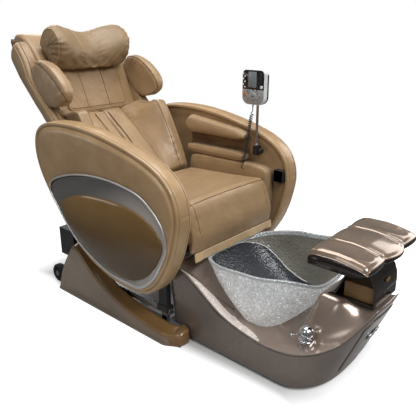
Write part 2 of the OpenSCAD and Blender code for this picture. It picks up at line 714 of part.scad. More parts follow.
// Leather band round the arm, crowned across its width
module arm_band(side) color(leather) on_side(side) {
    // Profile of the band: depth below the outline, and place across the arm
    prof = [[band_t, arm_in], [5, arm_in], [-0.5, arm_in + 14], [-0.5, band_out - 14],
        [5, band_out], [band_t, band_out]];
    lines = [for (q = prof) inset(pod, q[0])];
    loop_loft([for (i = [0 : len(pod) - 1]) [for (k = [0 : len(prof) - 1])
        [prof[k][1], lines[k][i].x, lines[k][i].y]]]);
}

module arm_cushion(side) color(leather) on_side(side) {
    d = band_t + seat_gap;
    loft([at_x(inset(pod, d), panel_x[1] + seat_gap), at_x(inset(pod, d), band_out - 4),
        at_x(inset(pod, d + 3), cushion_x - 3), at_x(inset(pod, d + 12), cushion_x)]);
}

module arm_rings() color(silver) both_sides() {
    n = len(ring_line);
    loop_loft([for (i = [0 : n - 1]) let (
        t = ring_line[(i + 1) % n] - ring_line[(i + n - 1) % n],
        u = [-t.y, t.x] / norm(t), p = ring_line[i])
        [for (a = [0 : 60 : 359]) let (q = p + u * ring_r * cos(a))
            [cushion_x + seat_gap + ring_r + ring_r * sin(a), q.x, q.y]]]);
}

inset_t = 2;

module arm_insets() color("#4d4d4d") both_sides()
    plate_x(cushion_x, cushion_x + inset_t) polygon(inset(ring_line, ring_r + 0.4));

module arm_gloss_panels() color(gloss_brown) both_sides() {
    c = mean(gloss_line);
    x = cushion_x + inset_t;
    // Each ring of the bulge: rise and share of the outline
    loft([for (q = [[0, 1], [0.3, 1], [0.55, 0.95], [0.8, 0.8], [0.95, 0.55], [1, 0.2]])
        at_x([for (p = gloss_line) c + (p - c) * q[1]], x + gloss_h * q[0])]);
}

liner_x = seat_w / 2 + 13;       // inner face of the arms' padding

module arm_liners() color(leather) difference() {
    both_sides() {
        loft([for (s = [[liner_x, 20], [liner_x + 4, 6], [liner_x + 14, 0], [arm_in, 0]])
            at_x([for (q = superellipse(235 - s[1], 99 - s[1], 7, 16, 215, 519)) q], s[0])]);
        // Neck that joins the liner to the arm's panel
        plate_x(arm_in, panel_x[0]) translate([40, 440]) square([360, 150]);
    }
    // Hole that takes the end of the handset's cord
    rod_x(liner_x - cut, cord_end.x + 0.6, cord_end.y, cord_end.z, wire_d / 2 + 0.6);
}

pad_z = [618.4, 660];            // lower forearm pad
pad_y = [114, 466];
roll_top = [756, 800];           // top of the upper roll, front and rear

module forearm_pads() color(leather) both_sides() {
    loft([for (s = [[liner_x, 14], [liner_x + 3, 6], [liner_x + 12, 0], [arm_in, 0]])
        at_x([for (q = superellipse((pad_y[1] - pad_y[0]) / 2 - s[1], 20.7 - s[1] * 0.7, 5, 20,
            (pad_y[0] + pad_y[1]) / 2, (pad_z[0] + pad_z[1]) / 2)) q], s[0])]);
    plate_x(arm_in, panel_x[0]) translate([150, 628]) square([280, 22]);
}

// Upper forearm roll, with the lengthwise ribs of its stitching
module forearm_rolls() color(leather) both_sides() {
    rib = [[0, 0], [6, 10], [4, 13], [9, 22], [7, 25], [11, 34], [9, 37], [8, 42]];
    ys = [[114, 0.72], [117, 0.86], [126, 0.96], [150, 1], [290, 1], [430, 1], [462, 0.96],
        [471, 0.86], [474, 0.72]];
    loft([for (i = [0 : len(ys) - 1]) let (y = ys[i][0], k = ys[i][1],
        low = 714 + (y < 150 ? 0 : 2), high = roll_top[0] + (roll_top[1] - roll_top[0])
            * (y - 114) / 360, m = (low + high) / 2, h = (high - low) / 2)
        concat([[arm_in, y, m - h * k], [liner_x + 12, y, m - h * k],
            [liner_x + 3, y, m - (h - 8) * k], [liner_x, y, m],
            [liner_x + 2, y, m + (h - 12) * k]],
            [for (j = [0, 2, 4, 6]) [liner_x + 6 + j * 5, y, m + (h - 6 + rib[j][0] * 0.5) * k]],
            [[arm_in, y, m + (h - 2) * k]])]);
    plate_x(arm_in, panel_x[0]) translate([150, 730]) square([280, 20]);
}

// Black framed pocket on the inside of the left arm
module arm_pocket() color(black) difference() {
    plate_x(294, panel_x[0] - seat_gap) translate([-62, 580]) round_rect(50, 56, 8);
    plate_x(290, panel_x[0] - 4) translate([-62, 580]) round_rect(40, 46, 5);
}

// ---------------------------------------------------------------- handset

stalk = [300, 64];               // the stalk's axis, in x and y
socket_z = [656, 700];
remote_c = [304, 80, 956];
remote_x = [remote_c.x - remote_t / 2, remote_c.x + remote_t / 2];
key_depth = 5;

module stalk_socket() color(black) {
    difference() {
        union() {
            translate([stalk.x, stalk.y, socket_z[0]])
                cylinder(h = socket_z[1] - socket_z[0], r = 10, $fn = 40);
            box([stalk.x - 8, stalk.y - 14, socket_z[0] + 4],
                [panel_x[0] - seat_gap, stalk.y + 14, socket_z[1] - 4]);
        }
        translate([stalk.x, stalk.y, socket_z[0] + 6])
            cylinder(h = 60, r = stalk_r + run_gap, $fn = 40);
    }
    // Clamping knob
    translate([stalk.x - 1, stalk.y - 14, 678]) rotate([90, 0, 0]) {
        cylinder(h = 6, r = 4, $fn = 24);
        translate([0, 0, 6]) cylinder(h = 14, r = 11, $fn = 32);
    }
}

module remote_stalk() color(chrome) {
    translate([stalk.x, stalk.y, socket_z[0] + 6 + seat_gap])
        cylinder(h = remote_c.z - remote_h / 2 - socket_z[0] + 16, r = stalk_r, $fn = 40);
    // Collar that rests on the socket
    translate([stalk.x, stalk.y, socket_z[1] + seat_gap]) cylinder(h = 8, r = 9.5, $fn = 40);
}

// Front outline of the handset, in y and z about its middle
module remote_outline(d) hull() {
    for (s = [-1, 1]) {
        translate([s * (remote_w / 2 - 22), remote_h / 2 - 22]) circle(r = 22 - d, $fn = 40);
        translate([s * (remote_w / 2 - 34), 34 - remote_h / 2]) circle(r = 34 - d, $fn = 40);
    }
}

module remote_case() color("#d9dadb") difference() {
    union() {
        plate_x(remote_x[0], remote_x[1] - 6) translate([remote_c.y, remote_c.z])
            remote_outline(0);
        plate_x(remote_x[1] - 6, remote_x[1]) translate([remote_c.y, remote_c.z])
            remote_outline(5);
    }
    // Groove round the face, hole for the stalk and the wells of the keys
    plate_x(remote_x[0] - cut, remote_x[0] + 1) translate([remote_c.y, remote_c.z])
        difference() {
            remote_outline(4);
            remote_outline(6);
        }
    translate([stalk.x, stalk.y, remote_c.z - remote_h / 2 - cut])
        cylinder(h = 26, r = stalk_r + 0.02, $fn = 40);
    for (k = keys) rod_x(remote_x[0] - cut, remote_x[0] + key_depth, k[0], k[1], k[2] + 0.3);
    rod_x(remote_x[0] - cut, remote_x[0] + 0.8, 62, 1000, 19);
    // Entry of the cord
    translate([cord_top.x, cord_top.y, remote_c.z - remote_h / 2 - cut])
        cylinder(h = 9, r = wire_d / 2 + 0.6, $fn = 24);
}

// The keys that move: place in y and z, and radius
keys = [[125, 926, 7], [36, 958, 7], [80, 918, 17]];

module key(k) difference() {
    union() {
        rod_x(remote_x[0] - 2.5, remote_x[0] + 3, k[0], k[1], k[2]);
        rod_x(remote_x[0] - 3.2, remote_x[0] - 2.5, k[0], k[1], k[2] - 1);
    }
    rod_x(remote_x[0] - 4, remote_x[0] - 2.7, k[0], k[1], k[2] / 3);
}

module key_power() color("#d9702c") key(keys[0]);
module key_stop() color("#d9dadb") key(keys[1]);
module key_pad() color("#8d9094") key(keys[2]);

cord_top = [303, 92, remote_c.z - remote_h / 2 + 7];
cord_end = [liner_x + 6, 108, 592];
// Middle line of the cord, from the handset to the arm
cord_line = open_curve([cord_top, cord_top - [0, 0, 22], [296, 90, 840], [284, 90, 806],
    [272, 92, 743], [261, 95, 687], [252, 99, 640], [247, 104, 612],
    [254, 108, 594], cord_end - [9, 0, 0], cord_end], 6);

// Lengths along the middle line
function run(p, i = 1, acc = [0]) = i == len(p) ? acc
    : run(p, i + 1, concat(acc, [acc[i - 1] + norm(p[i] - p[i - 1])]));
cord_run = run(cord_line);
cord_len = cord_run[len(cord_run) - 1];
cord_pitch = 8.8;
cord_tail = [30, 17];            // straight lengths at the two ends
curls = floor((cord_len - cord_tail[0] - cord_tail[1]) / cord_pitch);
curl_steps = 8;

// Point and direction of the middle line at the distance s
function along(s) = let (
    i = max(0, min(len(cord_run) - 2, len([for (r = cord_run) if (r <= s) 1]) - 1)),
    f = (s - cord_run[i]) / (cord_run[i + 1] - cord_run[i])
) cord_line[i] + (cord_line[i + 1] - cord_line[i]) * f;

cord_s = concat([0, cord_tail[0] / 2],
    [for (i = [0 : curls * curl_steps]) cord_tail[0] + (cord_len - cord_tail[0] - cord_tail[1])
        * i / (curls * curl_steps)], [cord_len - 6, cord_len]);
function turn(s) = 360 * curls * max(0, min(1, (s - cord_tail[0])
    / (cord_len - cord_tail[0] - cord_tail[1])));

cord_pts = [for (s = cord_s) let (
    c = along(s),
    t = along(min(cord_len, s + 3)) - along(max(0, s - 3)),
    d = t / norm(t),
    v = cross(d, [0, 1, 0]),
    n1 = v / norm(v),
    n2 = cross(d, n1),
    r = curl_r * smooth(0, 300, turn(s)) * smooth(0, 300, 360 * curls - turn(s)),
    a = turn(s)
) c + r * (cos(a) * n1 + sin(a) * n2)];

echo(curls = curls, cord_pieces = len(cord_pts), least_gap = min([
    for (i = [0 : len(cord_pts) - 14], j = [5 : 13]) norm(cord_pts[i] - cord_pts[i + j])]) - wire_d,
    cord_mm = sum_run(cord_pts));
function sum_run(p) = let (r = run(p)) r[len(r) - 1];

// Carries the frame of the tube's section from one point to the next
function frames(p, i, u, acc) = i == len(p) ? acc : let (
    t = i == len(p) - 1 ? p[i] - p[i - 1] : p[i + 1] - p[i - 1],
    d = t / norm(t),
    w = u - d * (u * d),
    v = w / norm(w)
) frames(p, i + 1, v, concat(acc, [[v, cross(d, v)]]));

module remote_cord() color(black) {
    f = frames(cord_pts, 1, [0, 1, 0], [[[0, 1, 0], [1, 0, 0]]]);
    loft([for (i = [0 : len(cord_pts) - 1]) [for (a = [0 : 60 : 359])
        cord_pts[i] + wire_d / 2 * (cos(a) * f[i][0] + sin(a) * f[i][1])]]);
}

// ---------------------------------------------------------------- backrest

// The backrest is drawn upright about the foot of its surface, with its front
// towards -Y, and then leant back
back_y = seat_d + 12;
back_z = 540;

module back_local() {
    translate([0, back_y, back_z]) rotate([-back_lean, 0, 0]) children();
}

// A point given in the drawing frame, in the backrest's y and z
function to_back(q) = let (y = q[0] - back_y, z = q[1] - back_z)
    [y * cos(back_lean) - z * sin(back_lean), y * sin(back_lean) + z * cos(back_lean)];

hinge_b = to_back([hinge_y, hinge_z]);
lever_b = to_back(pivot_b);
board_n = 60;                    // depth of the pads' rear face
board_t = 5;
shell_w = 4;                     // wall of the shell
tube_n = 112;                    // depth of the tubes and guide rods
guide_x = 72;
guide_r = 6;
frame_top = back_len - 218;      // upper end of the frame's tubes

// Height that keeps its share of the upper back when the backrest's length changes
function up(z) = 450 + (z - 450) * (back_len - 450) / 468;

module back_frame() color(black) back_local() {
    for (x = [-190, 190]) translate([x, tube_n, -34])
        cylinder(h = frame_top + 34, r = 12, $fn = 40);
    for (z = [-26, frame_top - 10]) rod_x(-190, 190, tube_n, z, 10);
    // Guide rods of the massage carriage
    for (x = [-guide_x, guide_x]) translate([x, tube_n, 62])
        cylinder(h = frame_top - 62, r = guide_r, $fn = 32);
    rod_x(-190, 190, tube_n, 62, 8);
    // Brackets of the shell
    both_sides() for (z = [70, frame_top - 100])
        box([198, tube_n - 14, z], [back_half - shell_w - seat_gap, tube_n + 6, z + 30]);
    // Hinge plates
    both_sides() difference() {
        plate_x(191, 203) union() {
            hull() {
                translate(hinge_b) circle(r = 16, $fn = 48);
                translate([tube_n - 6, -28]) square([4, 44]);
            }
        }
        rod_x(180, 220, hinge_b.x, hinge_b.y, hinge_r + run_gap);
    }
    // Lever and pin of the actuator
    for (x = [-22, 14]) plate_x(x, x + 8) hull() {
        translate(lever_b) circle(r = 12, $fn = 32);
        translate([tube_n - 8, -34]) square([16, 16]);
    }
    rod_x(-26, 26, lever_b.x, lever_b.y, pin_r);
}

// Board behind the pads, with the slot of the massage rollers
board_top = back_len - 70;

module back_board() color(gloss_brown) back_local() {
    w = back_half - shell_w - seat_gap;
    difference() {
        box([-w, board_n, 10], [w, board_n + board_t, board_top]);
        box([-86, board_n - cut, 150], [86, board_n + board_t + cut, frame_top - 48]);
    }
}

// Side view of the shell, and of the space inside it
shell_side = [[board_n, 10], [board_n + shell_d - 6, 10], [board_n + shell_d, 24],
    [board_n + shell_d, back_len - 278], [board_n + shell_d - 8, frame_top],
    [board_n + 34, back_len - 68], [board_n + 6, back_len], [board_n - 10, back_len + 6],
    [board_n - 16, back_len], [board_n, back_len - 68]];

module back_shell() color(gloss_brown) back_local() {
    n = board_n + board_t + seat_gap;
    difference() {
        plate_x(-back_half, back_half) polygon(shell_side);
        plate_x(shell_w - back_half, back_half - shell_w) polygon([
            [board_n - cut, -20], [board_n + shell_d - shell_w, -20],
            [board_n + shell_d - shell_w, back_len - 280],
            [board_n + shell_d - 12, frame_top - 2], [board_n + 30, back_len - 70],
            [board_n + 8, back_len - 30], [n, back_len - 30], [n, board_top + seat_gap],
            [board_n - cut, board_top + seat_gap]]);
    }
}

wing_front = 12;                 // depth of the wings' front face

// Outer wings: padded strips beside the back
module back_wings() color(leather) back_local() both_sides() {
    st = [[150, 70, 26, 10], [158, 76, 22, 4], [190, 80, 14, 0], [400, 80, wing_front, 0],
        [up(640), 80, wing_front - 2, 0], [up(720), 74, -22, 0], [up(800), 62, -30, 2],
        [up(826), 52, -24, 8], [up(834), 44, -16, 14]];
    loft([for (s = st) let (x0 = back_half + seat_gap, x1 = x0 + wing_w - s[3])
        [[x0, s[1], s[0]], [x0, s[2], s[0]], [x0 + 14, s[2] - 5, s[0]], [x1 - 16, s[2] - 3, s[0]],
        [x1 - 3, s[2] + 8, s[0]], [x1, (s[1] + s[2]) / 2, s[0]], [x1 - 6, s[1] - 4, s[0]],
        [x1 - 20, s[1], s[0]]]]);
}

// Shoulder pads: bolsters that stand forward of the wings
module shoulder_pads() color(leather) back_local() both_sides() {
    // Side view of the pad, in depth and height: [height, rear, front, rounding]
    st = [[up(412), -120, -142, 12], [up(420), -104, -152, 6], [up(440), -40, -154, 2],
        [up(470), -2, -150, 0], [up(520), 5.6, -142, 0], [up(580), 5.2, -130, 0],
        [up(630), 4.8, -116, 2], [up(660), -10, -96, 6], [up(674), -30, -72, 14]];
    x0 = back_half + seat_gap;
    x1 = x0 + wing_w;
    loft([for (s = st) let (r = s[3], m = (s[1] + s[2]) / 2)
        [[x0 + r, s[1], s[0]], [x0 + r, m, s[0]], [x0 + r + 4, s[2] + 10, s[0]],
        [x0 + 18, s[2], s[0]], [x1 - 18, s[2], s[0]], [x1 - r - 4, s[2] + 12, s[0]],
        [x1 - r, m, s[0]], [x1 - r - 4, s[1] - 4, s[0]], [x1 - 18, s[1], s[0]]]]);
}

// Lumbar pads: a flat centre that rises into a side wing
module lumbar_pads() color(leather) back_local() both_sides() {
    // Stations along the back: height, centre surface, wing surface, rounding of the ends
    st = [[20, 50, 34, 10], [24, 30, 8, 3], [40, 16, -8, 0], [100, 8, -34, 0], [170, 10, -60, 0],
        [250, 16, -86, 0], [320, 24, -104, 0], [346, 28, -106, 0], [366, 30, -90, 0],
        [392, 34, -50, 0], [424, 40, -14, 2], [444, 46, 0, 6], [448, 54, 6, 10]];
    side = back_half - 0.3;
    loft([for (s = st) let (z = s[0], c = s[1], w = s[2], r = s[3], b = board_n - seat_gap,
        xo = 258 - r, edge = z < 90 ? min(w + 18, b - 2) : min(w + 18, wing_front - 7))
        [[6, b, z], [6 + r, c + 4, z], [16, c, z], [60, c - 3, z], [104, c - 3, z],
        [122, c + 6, z], [140, c - 2 + (w - c) * 0.12, z], [176, c + (w - c) * 0.55, z],
        [206, w + 4, z], [226, w, z], [246, w + 4, z], [xo, edge, z],
        [side, z < 90 ? edge + 1 : wing_front - 4.5, z], [side, b, z]]]);
}

// Two straps down the middle of the lumbar pads
module back_straps() color(leather) back_local() both_sides()
    plate_x(22, 56) polygon(concat([for (q = strap_line) [q[0] - 5.5, q[1]]],
        [for (i = [len(strap_line) - 1 : -1 : 0]) [strap_line[i][0] - 0.5, strap_line[i][1]]]));
strap_line = [[11, 48], [4, 100], [6, 170], [12, 250], [20, 320], [25, 350], [30, 392],
    [36, 424]];

// Upper back pad behind the flap and the head pillow
pad_front = [[450, 51.5], [470, 44], [up(540), 14], [up(600), -12], [up(643), -28],
    [up(700), -38], [up(800), -42], [up(860), -30], [up(900), -10], [back_len, 14]];

module upper_back_pad() color(leather) back_local() {
    half = back_half - 1;
    xs = [[-half, 16], [5 - half, 6], [16 - half, 1], [40 - half, 0], [-172, 0], [172, 0],
        [half - 40, 0], [half - 16, 1], [half - 5, 6], [half, 16]];
    b = board_n - 12;
    loft([for (s = xs) let (d = s[1]) concat(
        [[s[0], board_n - seat_gap, 452 + d], [s[0], board_n - seat_gap, back_len - 78],
            [s[0], b - 4, back_len - 4 - d]],
        [for (i = [len(pad_front) - 1 : -1 : 0]) let (q = pad_front[i])
            [s[0], min(b, q[1] + d), q[0] + (i == len(pad_front) - 1 ? -d : i == 0 ? d : 0)]])]);
}

// Flap that hangs over the upper back pad from behind the pillow
module back_flap() color(leather) back_local() {
    line = [[457, 48.5], [470, 44], [up(540), 14], [up(600), -12], [up(643), -28],
        [up(700), -38], [up(796), -41.8]];
    xs = [[-170, 7], [-166, 2], [-150, 0], [0, -1], [150, 0], [166, 2], [170, 7]];
    loft([for (s = xs) concat(
        [for (q = line) [s[0], q[1] - 0.6, q[0]]],
        [for (i = [len(line) - 1 : -1 : 0]) let (q = line[i])
            [s[0], q[1] - 12 + s[1], q[0] + (i == 0 ? 2 * s[1] : 0)]])]);
}

// Head pillow, dipped in the middle
module head_pillow() color(leather) back_local() {
    h = pillow_half;
    // Place across, length below and above the middle, front depth, rounding
    xs = [[-h, 40, -168, 34], [6 - h, 66, -190, 14], [20 - h, 84, -198, 4], [52 - h, 94, -196, 0],
        [-100, 98, -176, 0], [-45, 99, -154, 0], [0, 100, -146, 0], [45, 99, -154, 0],
        [100, 98, -176, 0], [h - 52, 94, -196, 0], [h - 20, 84, -198, 4], [h - 6, 66, -190, 14],
        [h, 40, -168, 34]];
    loft([for (s = xs) let (l = s[1], f = s[2], r = s[3], c = up(708), b = -54.6 - r)
        [[s[0], b, c - l + 24], [s[0], b, c], [s[0], b, c + l - 24], [s[0], b - 14, c + l - 6],
        [s[0], (b + f) / 2, c + l], [s[0], f + 34, c + l - 8], [s[0], f + 8, c + l - 34],
        [s[0], f, c + 14], [s[0], f + 4, c - l * 0.4], [s[0], f + 26, c - l + 26],
        [s[0], f + 60, c - l + 8], [s[0], b - 22, c - l + 4]]]);
}

carriage_c = 400;                // height of the massage carriage
roller_n = 92;
roller_r = 23;
shaft_r = 6;

module massage_carriage() color(steel) back_local() difference() {
    union() {
        box([-86, tube_n + 9, carriage_c - 34], [86, tube_n + 14, carriage_c + 34]);
        for (x = [-86, 60]) box([x, tube_n - 9, carriage_c - 34],
            [x + 26, tube_n + 14, carriage_c + 34]);
        for (x = [-64, 60]) box([x, roller_n - 12, carriage_c - 12],
            [x + 4, tube_n + 10, carriage_c + 12]);
        box([-20, tube_n + 14, carriage_c - 24], [20, tube_n + 22, carriage_c + 24]);
    }
    for (x = [-guide_x, guide_x]) translate([x, tube_n, carriage_c - 40])
        cylinder(h = 80, r = guide_r + run_gap, $fn = 32);
    rod_x(-90, 90, roller_n, carriage_c, shaft_r + run_gap);
}

module massage_rollers() color(black) back_local() {
    rod_x(-64.5, 64.5, roller_n, carriage_c, shaft_r);
    for (x = [-54, 32]) {
        rod_x(x, x + 22, roller_n, carriage_c, roller_r - 3);
        rod_x(x + 4, x + 18, roller_n, carriage_c, roller_r);
    }
}

// ---------------------------------------------------------------- actuator

act_len = norm(pivot_b - pivot_a);
act_tilt = atan2(pivot_b.y - pivot_a.y, pivot_b.x - pivot_a.x);
rod_r = 10;

// Draws along +Y from the actuator's pin on the seat frame
module act_local() {
    translate([0, pivot_a.x, pivot_a.y]) rotate([act_tilt, 0, 0]) children();
}

module cyl_y(y0, y1, r) {
    translate([0, y0, 0]) rotate([-90, 0, 0]) cylinder(h = y1 - y0, r = r, $fn = 40);
}

module actuator_body() color(black) act_local() difference() {
    union() {
        rod_x(-15.5, 15.5, 0, 0, 13);
        box([-10, 0, -9], [10, 30, 9]);
        cyl_y(24, 260, 19);
        box([-24, 24, -17], [24, 80, 17]);
    }
    rod_x(-30, 30, 0, 0, pin_r + run_gap);
    cyl_y(90, 262, rod_r + run_gap);
}

module actuator_rod() color(steel) act_local() difference() {
    union() {
        cyl_y(150, act_len - 12, rod_r);
        rod_x(-12, 12, act_len, 0, 16);
    }
    rod_x(-14, 14, act_len, 0, pin_r + 4);
}

module arm_panel_left() arm_panel(1);
module arm_panel_right() arm_panel(-1);
module arm_band_left() arm_band(1);
module arm_band_right() arm_band(-1);
module arm_cushion_left() arm_cushion(1);
module arm_cushion_right() arm_cushion(-1);

place() base_frame();
place() slide_rails();
place() base_covers();
place() levelling_feet();
place() power_box();
place() power_switch();
place() wheel_left();
place() wheel_right();
place() tub_shell();
place() tub_deck();
place() glass_bowl();
place() drain_pipe();
place() access_panel();
place() badge();
place() mixer_base();
place() mixer_knob();
place() foot_tower();
place() tower_core();
place() footrest_bracket();
place() footrest_carrier();
place() footrest();
place() seat_frame();
place() arm_pocket();
place() seat_pan();
place() seat_cushion();
place() seat_skirt();
place() arm_panel_left();
place() arm_panel_right();
place() arm_band_left();
place() arm_band_right();
place() arm_cushion_left();
place() arm_cushion_right();
place() arm_rings();
place() arm_insets();
place() arm_gloss_panels();
place() arm_liners();
place() forearm_pads();
place() forearm_rolls();
place() stalk_socket();
place() remote_stalk();
place() remote_case();
place() key_power();
place() key_stop();
place() key_pad();
place() remote_cord();
place() back_frame();
place() back_board();
place() back_shell();
place() back_wings();
place() shoulder_pads();
place() lumbar_pads();
place() back_straps();
place() back_flap();
place() upper_back_pad();
place() head_pillow();
place() massage_carriage();
place() massage_rollers();
place() actuator_body();
place() actuator_rod();
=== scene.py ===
"""Dresses the pedicure spa chair: leather, painted shells, glass, chrome and the handset.

Shapes are worked out in millimetres in the drawing frame, whose y is 0 at the top seam of
the seat's front edge, and put() moves them into the model's frame in metres.
"""

import logging
import math
from dataclasses import dataclass, field
from enum import Enum
from typing import Any, Sequence

import bmesh
import bpy
import numpy as np
from numpy.typing import NDArray
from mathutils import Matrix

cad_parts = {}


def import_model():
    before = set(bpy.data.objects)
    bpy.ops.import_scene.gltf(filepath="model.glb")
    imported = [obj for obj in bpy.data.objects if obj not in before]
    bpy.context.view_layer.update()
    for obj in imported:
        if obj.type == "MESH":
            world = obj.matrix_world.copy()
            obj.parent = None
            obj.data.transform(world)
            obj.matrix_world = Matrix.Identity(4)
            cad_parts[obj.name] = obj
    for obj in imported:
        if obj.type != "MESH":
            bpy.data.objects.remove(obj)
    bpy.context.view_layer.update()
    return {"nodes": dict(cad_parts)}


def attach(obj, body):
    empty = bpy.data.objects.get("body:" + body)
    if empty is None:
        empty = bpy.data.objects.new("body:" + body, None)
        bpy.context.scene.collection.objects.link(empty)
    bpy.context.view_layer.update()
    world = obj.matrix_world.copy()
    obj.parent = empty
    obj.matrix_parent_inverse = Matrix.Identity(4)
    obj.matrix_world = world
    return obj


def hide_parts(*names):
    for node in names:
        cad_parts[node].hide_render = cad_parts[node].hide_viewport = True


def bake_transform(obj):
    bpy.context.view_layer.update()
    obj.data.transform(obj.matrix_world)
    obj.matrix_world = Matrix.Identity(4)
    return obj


Array = NDArray[np.float64]
LOG = logging.getLogger("spa_chair")

MID_Y = 198.85  # mm, middle of the chair's length in the drawing frame
LEAN = math.radians(46.0)  # lean of the backrest from the vertical
HINGE_Y, HINGE_Z = 430.0, 540.0  # mm, foot of the backrest's surface
SIDES = {1: "left", -1: "right"}  # the sitter's sides, by the sign of x
DOME_STEPS, DOME_HEIGHT = 5, 3.0  # rings and height (mm) of a cushion's rounded end
SHARP = math.radians(35)  # a sharper edge than this shades as an edge
METRE = 1000.0  # mm
CREASE_MM = 45.0  # from one soft crease of the hide to the next
LEFT, REAR, RIGHT, NOSE = range(4)  # the parts of the tub's outline


# ------------------------------------------------------------------ shapes


def put(points: Any) -> Array:
    """Millimetres of the drawing frame to metres of the model's frame."""
    return (np.asarray(points, float) - (0.0, MID_Y, 0.0)) / METRE


def lean_back(points: Any) -> Array:
    """Points of the upright backrest, leant back about the foot of its surface.

    Args:
        points: (..., 3) millimetres, y to the rear and z up the backrest.

    Returns:
        The same points in the drawing frame.
    """
    p = np.asarray(points, float)
    c, s = math.cos(LEAN), math.sin(LEAN)
    y = HINGE_Y + p[..., 1] * c + p[..., 2] * s
    z = HINGE_Z - p[..., 1] * s + p[..., 2] * c
    return np.stack([p[..., 0], y, z], axis=-1)


def spline(points: Any, steps: int, closed: bool = False) -> Array:
    """Catmull-Rom curve through rows of points: each span is a cubic of its four neighbours.

    Args:
        points: (n, ...) rows to pass through.
        steps: samples for each span.
        closed: whether the last row joins the first.

    Returns:
        The sampled rows, with the last row kept on an open curve.
    """
    p = np.asarray(points, float)
    n = len(p)
    if closed:
        i = np.arange(n)
        rows = (p[(i - 1) % n], p[i], p[(i + 1) % n], p[(i + 2) % n])
    else:
        i = np.arange(n - 1)
        rows = (p[np.maximum(i - 1, 0)], p[i], p[i + 1], p[np.minimum(i + 2, n - 1)])
    t = (np.arange(steps) / steps).reshape((1, steps) + (1,) * (p.ndim - 1))
    a, b, c, d = (r[:, None] for r in rows)
    out = 0.5 * (
        2 * b + (c - a) * t + (2 * a - 5 * b + 4 * c - d) * t**2 + (3 * b - a - 3 * c + d) * t**3
    )
    out = out.reshape((-1,) + p.shape[1:])
    return out if closed else np.concatenate([out, p[-1:]])


def smooth(a: float, b: float, x: Any) -> Array:
    """Smooth step: 0 at a, 1 at b, with level ends."""
    t = np.clip((np.asarray(x, float) - a) / (b - a), 0.0, 1.0)
    return t * t * (3.0 - 2.0 * t)


def bump(x: Any, centre: float, width: float) -> Array:
    """Bell of height 1 at the centre that falls off over the width."""
    return np.exp(-(((np.asarray(x, float) - centre) / width) ** 2))


def nearest(values: Array, at: float) -> int:
    """Index of the value that is nearest."""
    return int(np.argmin(np.abs(values - at)))


def averaged(values: Array, reach: int) -> Array:
    """Each value's mean with its neighbours up to the reach."""
    width = 2 * reach + 1
    return np.convolve(np.pad(values, reach, mode="edge"), np.ones(width) / width, mode="valid")


def angles(n: int) -> Array:
    """n equal steps round a circle."""
    return np.linspace(0.0, 2 * math.pi, n, endpoint=False)


def squared(c: Array, power: float) -> Array:
    """A sine or cosine to a power that keeps its sign: turns a circle into a superellipse."""
    return np.sign(c) * np.abs(c) ** power


def unit(rows: Array) -> Array:
    """Vectors at length 1."""
    return rows / np.maximum(np.linalg.norm(rows, axis=-1, keepdims=True), 1e-9)


def distances(path: Array) -> Array:
    """Distance along a path from its start to each of its points."""
    return np.concatenate([[0.0], np.cumsum(np.linalg.norm(np.diff(path, axis=0), axis=1))])


def grid_of(x: Any, y: Any, z: Any) -> Array:
    """Points from coordinates that spread over each other."""
    return np.stack(np.broadcast_arrays(x, y, z), axis=-1)


def at_x(flat: Array, x: Any) -> Array:
    """Points given in y and z, at the places x."""
    return grid_of(x, flat[..., 0], flat[..., 1])


def around(path: Array, radius: Any, v: Array, w: Array, sides: int) -> Array:
    """Circles of points round a path, in the plane of the directions v and w."""
    a = angles(sides)
    r = np.broadcast_to(np.asarray(radius, float), (len(path),))[:, None, None]
    return path[:, None] + r * (np.cos(a)[:, None] * v[:, None] + np.sin(a)[:, None] * w[:, None])


def inset(outline: Array, d: float) -> Array:
    """A closed anticlockwise outline moved inwards by d, square to itself."""
    t = np.roll(outline, -1, axis=0) - np.roll(outline, 1, axis=0)
    n = np.stack([-t[:, 1], t[:, 0]], axis=1)
    return outline + d * n / np.linalg.norm(n, axis=1, keepdims=True)


def resample(path: Array, n: int, closed: bool = False) -> Array:
    """A path with n points at equal steps of its length."""
    p = np.vstack([path, path[:1]]) if closed else path
    s = distances(p)
    at = np.linspace(0.0, s[-1], n, endpoint=not closed)
    return np.column_stack([np.interp(at, s, p[:, k]) for k in range(p.shape[1])])


def round_ends(rings: Array) -> Array:
    """Closes a stack of rings with domes: each further ring shrinks as a cosine while it
    moves out along the stack as a sine."""
    a = np.linspace(0.0, math.pi / 2, DOME_STEPS + 1)[1:, None, None]
    domes = []
    for ring, beside in ((rings[0], rings[1]), (rings[-1], rings[-2])):
        mid = ring.mean(axis=0)
        along = unit(mid - beside.mean(axis=0))
        domes.append(mid + (ring - mid)[None] * np.maximum(np.cos(a), 0.02)
                     + along * DOME_HEIGHT * np.sin(a))
    return np.concatenate([domes[0][::-1], rings, domes[1]])


def mesh_of(name: str, points: Array, faces: Sequence[Sequence[int]]) -> bpy.types.Object:
    """A smooth-shaded object from points in the drawing frame, its faces turned outwards."""
    data = bpy.data.meshes.new(name)
    data.from_pydata(put(points).tolist(), [], [list(f) for f in faces])
    tidy = bmesh.new()
    tidy.from_mesh(data)
    bmesh.ops.remove_doubles(tidy, verts=tidy.verts, dist=1e-6)
    bmesh.ops.recalc_face_normals(tidy, faces=tidy.faces)
    tidy.to_mesh(data)
    tidy.free()
    data.polygons.foreach_set("use_smooth", [True] * len(data.polygons))
    piece = bpy.data.objects.new(name, data)
    bpy.context.collection.objects.link(piece)
    return piece


